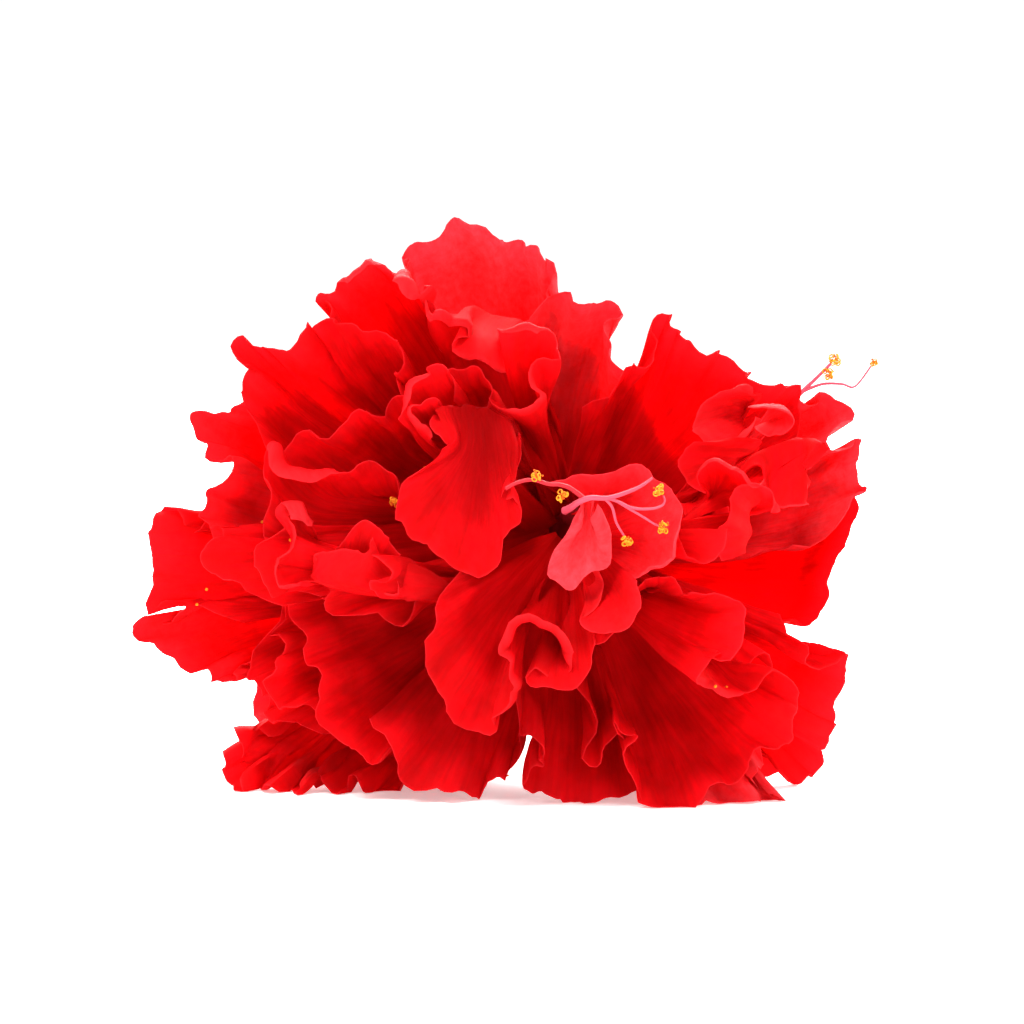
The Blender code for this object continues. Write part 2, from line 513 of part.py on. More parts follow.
def bend_clear(rows, placed):
    """Bends a petal forward where it would touch those already placed behind it."""
    columns = len(rows[0])
    lift = [[0.0] * columns for line in rows]
    forward = Vector((0, -1, 0))
    bent = [[on_surface(point) for point in line] for line in rows]
    for attempt in range(BEND_TRIES):
        points, faces = blade_solid(bent, BLADE / 2 + GAP)
        tree = BVHTree.FromPolygons(points, faces)
        hits = set()
        for mine, theirs in tree.overlap(placed):
            hits.update(index % (len(rows) * columns) for index in faces[mine])
        if not hits:
            return bent
        for index in hits:
            lift[index // columns][index % columns] += BEND_STEP
        spread(lift, rows)
        bent = [[on_surface(point + rise * forward) for point, rise in zip(line, rises)]
                for line, rises in zip(rows, lift)]
    return bent


def settled(rows, placed):
    """A petal's net, bent clear of those behind it and smoothed until it is sound."""
    for attempt in range(SETTLE_TRIES):
        rows = bend_clear(untangled(rows), placed)
        if not crossings(rows):
            break
    return rows


def finish_material(name, colour, roughness):
    material = bpy.data.materials.new(name)
    material.use_nodes = True
    shader = material.node_tree.nodes["Principled BSDF"]
    shader.inputs["Base Color"].default_value = (*colour, 1.0)
    shader.inputs["Roughness"].default_value = roughness
    shader.inputs["Metallic"].default_value = 0.0
    return material


def new_object(name, mesh, material):
    mesh.materials.append(material)
    thing = bpy.data.objects.new(name, mesh)
    bpy.context.scene.collection.objects.link(thing)
    return thing


def petal_object(name, rows, material):
    """One petal: its middle surface, thickened alike on both faces."""
    mesh = bpy.data.meshes.new(name)
    points = [tuple(point * MM) for line in rows for point in line]
    mesh.from_pydata(points, [], blade_faces(len(rows), len(rows[0])))
    mesh.shade_smooth()
    thing = new_object(name, mesh, material)
    wall = thing.modifiers.new("Blade", "SOLIDIFY")
    wall.thickness = BLADE * MM
    wall.offset = 0.0
    cut = thing.modifiers.new("Triangles", "TRIANGULATE")
    cut.min_vertices = 4
    bpy.context.view_layer.update()
    seen = thing.evaluated_get(bpy.context.evaluated_depsgraph_get())
    pressed = bpy.data.meshes.new_from_object(seen)
    for corner in pressed.vertices:
        if corner.co.z < SETTLE * MM:
            corner.co.z = 0.0
    bpy.data.objects.remove(thing, do_unlink=True)
    pressed.name = name
    pressed.materials.clear()
    return new_object(name, pressed, material)


def ring_solid(name, rings, material):
    """A closed solid through rings of points, from its first end to its last."""
    shape = bmesh.new()
    loops = [[shape.verts.new(point * MM) for point in ring] for ring in rings]
    for lower, upper in zip(loops, loops[1:]):
        for index in range(len(lower)):
            after = (index + 1) % len(lower)
            shape.faces.new((lower[index], lower[after], upper[after], upper[index]))
    shape.faces.new(reversed(loops[0]))
    shape.faces.new(loops[-1])
    bmesh.ops.triangulate(shape, faces=shape.faces)
    bmesh.ops.recalc_face_normals(shape, faces=shape.faces)
    mesh = bpy.data.meshes.new(name)
    shape.to_mesh(mesh)
    shape.free()
    mesh.shade_smooth()
    return new_object(name, mesh, material)


def ring_round(centre, axis, radii):
    """Points round an axis, one for each of the given radii."""
    upward = Vector((0, 0, 1))
    upward = (upward - axis * upward.dot(axis)).normalized()
    across = axis.cross(upward)
    ring = []
    for index, radius in enumerate(radii):
        angle = 2 * math.pi * index / len(radii)
        ring.append(centre + radius * (math.cos(angle) * upward + math.sin(angle) * across))
    return ring


def tube_rings(path, radii, sides):
    """Rings along a path of points, each square to the path there."""
    rings = []
    for index, (point, radius) in enumerate(zip(path, radii)):
        before = path[max(index - 1, 0)]
        after = path[min(index + 1, len(path) - 1)]
        rings.append(ring_round(point, (after - before).normalized(), [radius] * sides))
    return rings


def tube_solid(rings):
    """Points and triangles of a closed tube, for testing what it touches."""
    sides = len(rings[0])
    points = [point for ring in rings for point in ring]
    faces = []
    for ring in range(len(rings) - 1):
        for side in range(sides):
            a = ring * sides + side
            b = ring * sides + (side + 1) % sides
            faces += [(a, b, b + sides), (a, b + sides, a + sides)]
    return points, faces


def make_column(material):
    """The red column that the petals and petaloids stand round."""
    back = lean(COLUMN_BACK)
    tip = lean(COLUMN_TIP)
    path = [back.lerp(tip, step / COLUMN_STEPS) for step in range(COLUMN_STEPS + 1)]
    radii = [COLUMN_BACK_RADIUS + (COLUMN_TIP_RADIUS - COLUMN_BACK_RADIUS) * step / COLUMN_STEPS
             for step in range(COLUMN_STEPS + 1)]
    rings = tube_rings(path, radii, COLUMN_SIDES)
    ring_solid("column", rings, material)
    return tube_solid(rings)


def make_calyx(material):
    """The green cup behind the petals, with its five pointed teeth."""
    back = lean(COLUMN_BACK)
    axis = (lean(COLUMN_TIP) - back).normalized()
    sides = CALYX_TEETH * 4
    teeth = [0.5 + 0.5 * math.cos(2 * math.pi * CALYX_TEETH * index / sides)
             for index in range(sides)]
    stalk_end = back - axis * CALYX_DEPTH
    rings = [ring_round(stalk_end, axis, [STALK_RADIUS + 0.8] * sides),
             ring_round(stalk_end + axis * 1.5, axis, [CALYX_RADIUS * 0.62] * sides),
             ring_round(stalk_end + axis * 6.0, axis, [CALYX_RADIUS * 0.92] * sides),
             ring_round(back - axis * 3.6, axis,
                        [CALYX_RADIUS + 2.0 * tooth for tooth in teeth]),
             ring_round(back - axis * 2.2, axis,
                        [CALYX_RADIUS + 0.6 + 5.5 * tooth for tooth in teeth]),
             ring_round(back - axis * 1.4, axis,
                        [CALYX_RADIUS - 0.6 + 5.0 * tooth for tooth in teeth]),
             ring_round(back - axis * (BLADE / 2 + GAP), axis, [COLUMN_BACK_RADIUS] * sides)]
    return ring_solid("calyx", rings, material)


def join_pieces(name, pieces, material):
    """One solid from pieces that are sunk into the first one."""
    repeats = bpy.data.collections.new(name + "_pieces")
    bpy.context.scene.collection.children.link(repeats)
    first = pieces[0]
    for piece in pieces[1:]:
        bpy.context.scene.collection.objects.unlink(piece)
        repeats.objects.link(piece)
    union = first.modifiers.new("Join", "BOOLEAN")
    union.operation = "UNION"
    union.operand_type = "COLLECTION"
    union.collection = repeats
    union.solver = "MANIFOLD"
    bpy.context.view_layer.update()
    seen = first.evaluated_get(bpy.context.evaluated_depsgraph_get())
    mesh = bpy.data.meshes.new_from_object(seen)
    for piece in pieces:
        bpy.data.objects.remove(piece, do_unlink=True)
    bpy.data.collections.remove(repeats)
    mesh.name = name
    mesh.materials.clear()
    return new_object(name, mesh, material)


def make_epicalyx(material):
    """The ring of narrow bracts outside the calyx, grown together at the stalk."""
    back = lean(COLUMN_BACK)
    axis = (lean(COLUMN_TIP) - back).normalized()
    root = back - axis * (CALYX_DEPTH + BLADE / 2 + GAP)
    collar = [ring_round(root - axis * 2.4, axis, [STALK_RADIUS + 1.2] * 14),
              ring_round(root, axis, [STALK_RADIUS + 2.2] * 14)]
    pieces = [ring_solid("collar", collar, material)]
    spokes = ring_round(Vector(), axis, [1.0] * BRACTS)
    for spoke in spokes:
        across = axis.cross(spoke)
        rings = []
        for step in range(6):
            t = step / 5
            centre = (root - axis * 1.2 + spoke * (1.5 + BRACT_LENGTH * math.sin(1.3 * t) / 1.3)
                      + axis * (BRACT_LENGTH * 0.30 * t ** 2 - 0.2 * t))
            half = 1.3 * math.sin(math.pi * (0.18 + 0.76 * t)) ** 0.8 + 0.12
            tall = axis * 0.35
            rings.append([centre + across * half, centre + tall, centre - across * half,
                          centre - tall])
        pieces.append(ring_solid("bract", rings, material))
    return join_pieces("epicalyx", pieces, material)


def make_stalk(material):
    """The short cut stalk, which droops a little."""
    back = lean(COLUMN_BACK)
    axis = (lean(COLUMN_TIP) - back).normalized()
    start = back - axis * (CALYX_DEPTH + 2.4 + 2 * (BLADE / 2 + GAP))
    path = []
    radii = []
    for step in range(7):
        t = step / 6
        path.append(start - axis * STALK_LENGTH * t + Vector((0, 0, -3.0 * t ** 2)))
        radii.append(STALK_RADIUS * (1 + 0.15 * t))
    return ring_solid("stalk", tube_rings(path, radii, 10), material)


def filament_rings(points, start_radius, end_radius, room=0.0):
    """Rings of one tapered filament along a smooth curve through the given points."""
    count = max(4, 2 * (len(points) - 1))
    path = smooth_curve([lean(point) for point in points], count)
    radii = [start_radius + (end_radius - start_radius) * step / count + room
             for step in range(count + 1)]
    return tube_rings(path, radii, FILAMENT_SIDES)


def anther(point, size, material):
    """One anther: a small rounded bean."""
    shape = bmesh.new()
    bmesh.ops.create_icosphere(shape, subdivisions=1, radius=size * MM,
                               matrix=Matrix.Translation(lean(point) * MM)
                               @ Matrix.Diagonal((1.0, 0.7, 0.8, 1.0)))
    mesh = bpy.data.meshes.new("anther")
    shape.to_mesh(mesh)
    shape.free()
    return new_object("anther", mesh, material)


def drawn_forward(point, reach, rooted):
    """A point of a spray, drawn forward unless it is the root that stays where it grows."""
    return point if rooted else (point[0], point[1] - reach, point[2])


def clear_reach(rooted, filaments, anthers, placed):
    """How far a spray is drawn forward so that it stands clear of the petals."""
    for attempt in range(REACH_TRIES):
        reach = attempt * BEND_STEP
        touching = []
        for order, (points, first, last) in enumerate(filaments):
            moved = [drawn_forward(point, reach, rooted and order == 0 and place == 0)
                     for place, point in enumerate(points)]
            tube = BVHTree.FromPolygons(*tube_solid(filament_rings(moved, first, last, GAP)))
            for mine, theirs in tube.overlap(placed):
                if order or not rooted or mine >= 2 * FILAMENT_SIDES:
                    touching.append((order, mine // (2 * FILAMENT_SIDES)))
        for point, size in anthers:
            near = placed.find_nearest(lean(drawn_forward(point, reach, False)))
            if near[3] < size + GAP:
                touching.append(point)
        if not touching:
            break
    return reach


def make_stamens(name, rooted, filaments, anthers, placed, material):
    """A spray of stamens, joined where their filaments branch."""
    reach = clear_reach(rooted, filaments, anthers, placed)
    pieces = []
    for order, (points, first, last) in enumerate(filaments):
        moved = [drawn_forward(point, reach, rooted and order == 0 and place == 0)
                 for place, point in enumerate(points)]
        pieces.append(ring_solid("filament", filament_rings(moved, first, last), material))
    for point, size in anthers:
        pieces.append(anther(drawn_forward(point, reach, False), size, material))
    return join_pieces(name, pieces, material)


def clear_scene():
    for thing in list(bpy.data.objects):
        bpy.data.objects.remove(thing, do_unlink=True)


def centre_on_origin():
    """Moves every piece alike, so that the bloom's box stands in the middle of the origin."""
    bpy.context.view_layer.update()
    corners = [thing.matrix_world @ Vector(corner) for thing in bpy.data.objects
               for corner in thing.bound_box]
    shift = Vector()
    for axis in (0, 1):
        places = [corner[axis] for corner in corners]
        shift[axis] = -(min(places) + max(places)) / 2
    for thing in bpy.data.objects:
        thing.data.transform(Matrix.Translation(shift))


def joined_tree(solids):
    """One tree of all the solids placed so far."""
    points = []
    faces = []
    for solid_points, solid_faces in solids:
        start = len(points)
        points += solid_points
        faces += [tuple(index + start for index in face) for face in solid_faces]
    return BVHTree.FromPolygons(points, faces)


def make_petals(material, column):
    """Sets the petals from the back one to the front one, each clear of those behind it."""
    draw = random.Random(SEED)
    solids = [column]
    levels = claw_levels()
    for petal, level in zip(PETALS, levels):
        place = FIRST_CLAW + (LAST_CLAW - FIRST_CLAW) * level / max(levels)
        rows = settled(petal_net(petal, place, draw), joined_tree(solids))
        solids.append(blade_solid(rows, BLADE / 2))
        petal_object(petal["name"], rows, material)
    return joined_tree(solids)


def main():
    clear_scene()
    red = finish_material("petal", (0.80, 0.01, 0.02), 0.5)
    deep_red = finish_material("column", (0.45, 0.01, 0.02), 0.5)
    green = finish_material("green", (0.13, 0.28, 0.05), 0.5)
    pink = finish_material("stamen", (0.85, 0.25, 0.35), 0.5)
    column = make_column(deep_red)
    placed = make_petals(red, column)
    make_calyx(green)
    make_epicalyx(green)
    make_stalk(green)
    for name, rooted, filaments, anthers in STAMENS:
        make_stamens(name, rooted, filaments, anthers, placed, pink)
    centre_on_origin()


main()
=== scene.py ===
"""A double red hibiscus bloom, picked and laid on its lower petals on a white sweep.

Sizes are millimetres in the bloom's own frame, as in the part: X is across, Y is back from the
front rims and Z is up, leaned back by LEAN. Each petal starts on the part's own net of points and
gets its pleats, ruffled margin and rolled lips there.
"""

import math
import random

import bpy
import numpy as np
from mathutils import Matrix, Vector
from mathutils.bvhtree import BVHTree


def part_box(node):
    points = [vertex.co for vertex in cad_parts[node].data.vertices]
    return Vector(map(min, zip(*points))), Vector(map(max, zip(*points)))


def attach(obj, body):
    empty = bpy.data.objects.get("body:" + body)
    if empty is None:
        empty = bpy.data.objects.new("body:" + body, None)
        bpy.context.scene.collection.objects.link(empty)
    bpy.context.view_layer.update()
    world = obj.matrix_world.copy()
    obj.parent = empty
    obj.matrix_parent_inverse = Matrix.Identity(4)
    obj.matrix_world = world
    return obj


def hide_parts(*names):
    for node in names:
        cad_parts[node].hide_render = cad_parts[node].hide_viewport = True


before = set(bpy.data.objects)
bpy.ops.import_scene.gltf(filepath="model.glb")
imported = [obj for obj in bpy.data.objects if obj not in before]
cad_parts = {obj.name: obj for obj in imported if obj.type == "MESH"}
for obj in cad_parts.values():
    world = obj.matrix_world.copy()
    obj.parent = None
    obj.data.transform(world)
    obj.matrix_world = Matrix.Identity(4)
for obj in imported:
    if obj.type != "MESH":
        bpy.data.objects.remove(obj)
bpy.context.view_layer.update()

MM = 0.001
LEAN = math.radians(6.0)

# The column that the petals stand round, from its back end to its tip
COLUMN_BACK = Vector((10.0, 50.0, 41.0))
COLUMN_TIP = Vector((12.0, 6.0, 48.2))
COLUMN_BACK_RADIUS = 5.0
COLUMN_TIP_RADIUS = 1.6
# Between which shares of the column's length the claws of the petals stand
FIRST_CLAW = 0.03
LAST_CLAW = 0.92
# How many gaps wide the room between the column and a claw is, and how many degrees there are
# from one claw to the next
CLAW_GAPS = 1.6
CLAW_ROOM = 12.0
# The angle at which a petal leaves the column
LEAVING = math.radians(15.0)

# The part's own blades, which the fine petals are shaped on: how thick they are, the least gap
# between them, and their steps along the rim and up from the claw
BLADE = 0.7
GAP = 0.35
RIM_STEPS = 12
SMALL_RIM_STEPS = 7
LENGTH_STEPS = 5
SMALL_LENGTH_STEPS = 4
# A petal with a claw up to this wide is a small one
SMALL_CLAW = 42
# How often a rim is softened for the blade below it, and how sharply its lobes fade there
SOFT_TURNS = 3
LOBE_FADE = 5
# A blade as low as this lies flat on the surface, pressed in a little
LIE_FLAT = 0.9
PRESS = 0.05
# A petal that touches one behind it bends forward by steps, and draws what is round the place
# with it
BEND_STEP = 0.5
BEND_TRIES = 90
BEND_SLOPE = 0.4
SPREAD_TURNS = 8
COLUMN_STEPS = 8
COLUMN_SIDES = 16
FILAMENT_SIDES = 6
FILAMENT_STEPS = 2
LEAST_FILAMENT_STEPS = 4
REACH_TRIES = 40
SEED = 7
PETAL_SEED = 100
ANTHER = 1.1

# Fine petals: how thick they are, how much of that is left at the rim, how far in from the rim
# they thin, and how close together their points are
PETAL_THICKNESS = 0.34
RIM_THINNING = 0.35
THINNING_DEPTH = 1.6
ACROSS_STEP = 0.9
ALONG_STEP = 1.1
# The fewest and the most points across a petal and along it
ACROSS_POINTS = (28, 190)
ALONG_POINTS = (16, 44)
# A petal this long has its full ruffles, and a shorter one has less
FULL_LENGTH = 35.0
# Waves across the blade: height, length and how far in from the rim they fade
RUFFLE = (2.0, 17.0, 10.0)
FRILL = (0.7, 7.5, 4.0)
CRINKLE = (0.12, 2.6, 5.0)
SCALLOP = (0.3, 6.0, 2.5)
NICK = (0.1, 2.0, 1.0)
PLEAT = (0.3, 9.0)
# How sharply the waves of the rim end
RIM_FADE = 1.5
# A wave that doesn't quite repeat is made of waves that are this much longer or shorter
STRETCHES = (0.72, 1.0, 1.47)
HIGHEST = 2.2
# Broad bulges in every direction: height, length and how many waves make them
BULGE = (0.55, 16.0, 7)
BULGE_STRETCH = (0.6, 1.5)
# The soft lip along every rim: length, bending radius and turn
LIP = (0.35, 0.5, 50.0)
LIP_STEP = 0.45
# How far a petal looks for its neighbours, and how much of the way to them it may take up.
# That room is narrowed and then evened out over the places round each one.
LOOK_AHEAD = 5.0
ROOM_SHARE = 0.45
LEAST_ROOM = 0.05
NARROW_TURNS = 3
EVEN_TURNS = 6
LIP_EVENING = 12
# How far in from the rim the blade is drawn in under its lip and let out for its growth
DRAWN_IN = 4.0
RIM_GROWTH = 0.6
# How low a fine petal's middle surface may lie
LOWEST = 0.2
LINE_STEPS = 3
# Edges that turn more than this stay sharp
CREASE = math.radians(55)
# Stands in for a length of nothing where something is divided by it
TINY = 1e-9
# Points closer together than this, in metres, become one
WELD = 0.00001

# Stamens: an anther is a knot of curled cases with grains of pollen round it
FINE_FILAMENT_STEPS = 6
FILAMENT_ROUND = 12
FILAMENT_TAPER = 0.8
CASES = 9
CASE_SPREAD = 0.6
CASE_RADIUS = 0.36
CASE_THICKNESS = 0.1
GRAIN = 0.2
GRAINS = 12
GRAIN_REACH = (0.3, 0.9)
# The one filament that is red, as the photo shows: its spray and its place there
RED_STRAND = ("stamens", 4)
# Pollen shed on the petals, as across and up, seen from the front
SHED_GRAIN = 0.27
SHED_GRAINS = [(-12.7, 56.3), (-50.8, 33.2), (-49.2, 35.7), (-40, 47), (-35, 44),
               (35.8, 19.7), (37.7, 19.5), (33.3, 76.5)]
# They are looked for from this far in front of the bloom
IN_FRONT = 100.0

# Green parts behind the bloom
CALYX_DEPTH = 11.0
CALYX_RADIUS = 9.0
CALYX_RIB = 0.12
CALYX_TEETH = 5
TEETH_REACH = 5.3
TEETH_FORWARD = 4.0
TOOTH_POINT = 1.3
TOOTH_SIDES = 16
BRACTS = 7
BRACT_LENGTH = 15.0
BRACT_CURVE = 1.3
BRACT_RISE = 0.30
BRACT_WIDTH = 1.3
BRACT_THICKNESS = 0.35
BRACT_SIDES = 12
BRACT_ROOT = 1.5
BRACT_DIP = 0.2
# A bract's outline: where on half a wave it starts, how much of that it takes up, how full it
# is, and its half width at the ends
BRACT_OUTLINE = (0.18, 0.76, 0.8, 0.12)
STALK_LENGTH = 14.0
STALK_RADIUS = 1.7
COLLAR_RADII = (STALK_RADIUS + 1.2, STALK_RADIUS + 2.2)
COLLAR_DEPTH = 2.4
COLLAR_SIDES = 28
STALK_FLARE = 0.15
STALK_DROOP = 3.0
STALK_SIDES = 24
GREEN_STEPS = 18
FINE_COLUMN_STEPS = 20
FINE_COLUMN_SIDES = 32

# What a petal's skin goes by: places along the rim, up from the claw and down from the rim
# in millimetres, how deep its red is, partly painted shade, and how pale, partly painted light
SKIN_NUMBERS = ("run", "grown", "left", "deep_and_shaded", "pale_and_lit")
# How pale a petal's skin is at its rim, from 0 for full red: partly its own paler red and partly
# painted light. On a lip that is rolled over it is a painted highlight.
PALE_AND_LIT = {"guard_top": 0.5, "guard_upper_right": 0.35, "guard_right": 0.0, "guard_left": 0.08,
        "right_shoulder": 0.3, "top_left_ruffle": 0.08, "left_shoulder": 0.1, "right_flap": 0.1,
        "right_flap_back": 0.15, "pale_lobe": 0.6, "left_petaloid": 0.06,
        "behind_stamens": 0.3, "lower_lobe": 0.1, "left_roll": 0.05, "foot_right": 0.3}
LIP_HIGHLIGHT = 0.18
RIM_PALE_AND_LIT = 0.04
# The body's own reds, from its darker streaks to its lighter ones
BODY_REDS = ((0.14, "#CE0000"), (0.36, "#F0000C"))
# Between which shares of its length a petal's deep red fades, and how much there is. It is
# partly its own darker red and partly painted shade down in the bloom. It is full at the claw,
# round the dark throat, and THROAT is how far that reaches.
DEEP_AND_SHADED = (0.15, 0.85, 0.5)
THROAT = 0.35

# The white room, in metres: how far from the bloom its floor glows least and most
WHITE = (1.0, 1.0, 1.0, 1.0)
FLOOR_SIZE = 60.0
BACKDROP_RADIUS = 9.0
BACKDROP_DEPTH = 1.6
BACKDROP_MIDDLE = 0.6
GLOW_PLACES = (0.1, 0.5)
NEAR_GLOW = 0.36
FLOOR_GLOW = 0.68
ROOM_LIGHT = 0.32

# Soft lights: name, place, power in watts and width
LIGHTS = [
    ("key_light", (-260, -220, 640), 6.8, 240),
    ("back_light", (0, 480, 400), 18, 420),
    ("right_light", (420, 160, 260), 3.5, 260),
    ("fill_light", (300, -600, 300), 1.9, 350),
]
LIGHT_AIM = Vector((0, -10, 45))

CAMERA_DISTANCE = 2000.0
FRAME_WIDTH = 170.67
AIM = Vector((2.0, 0.0, 48.67))
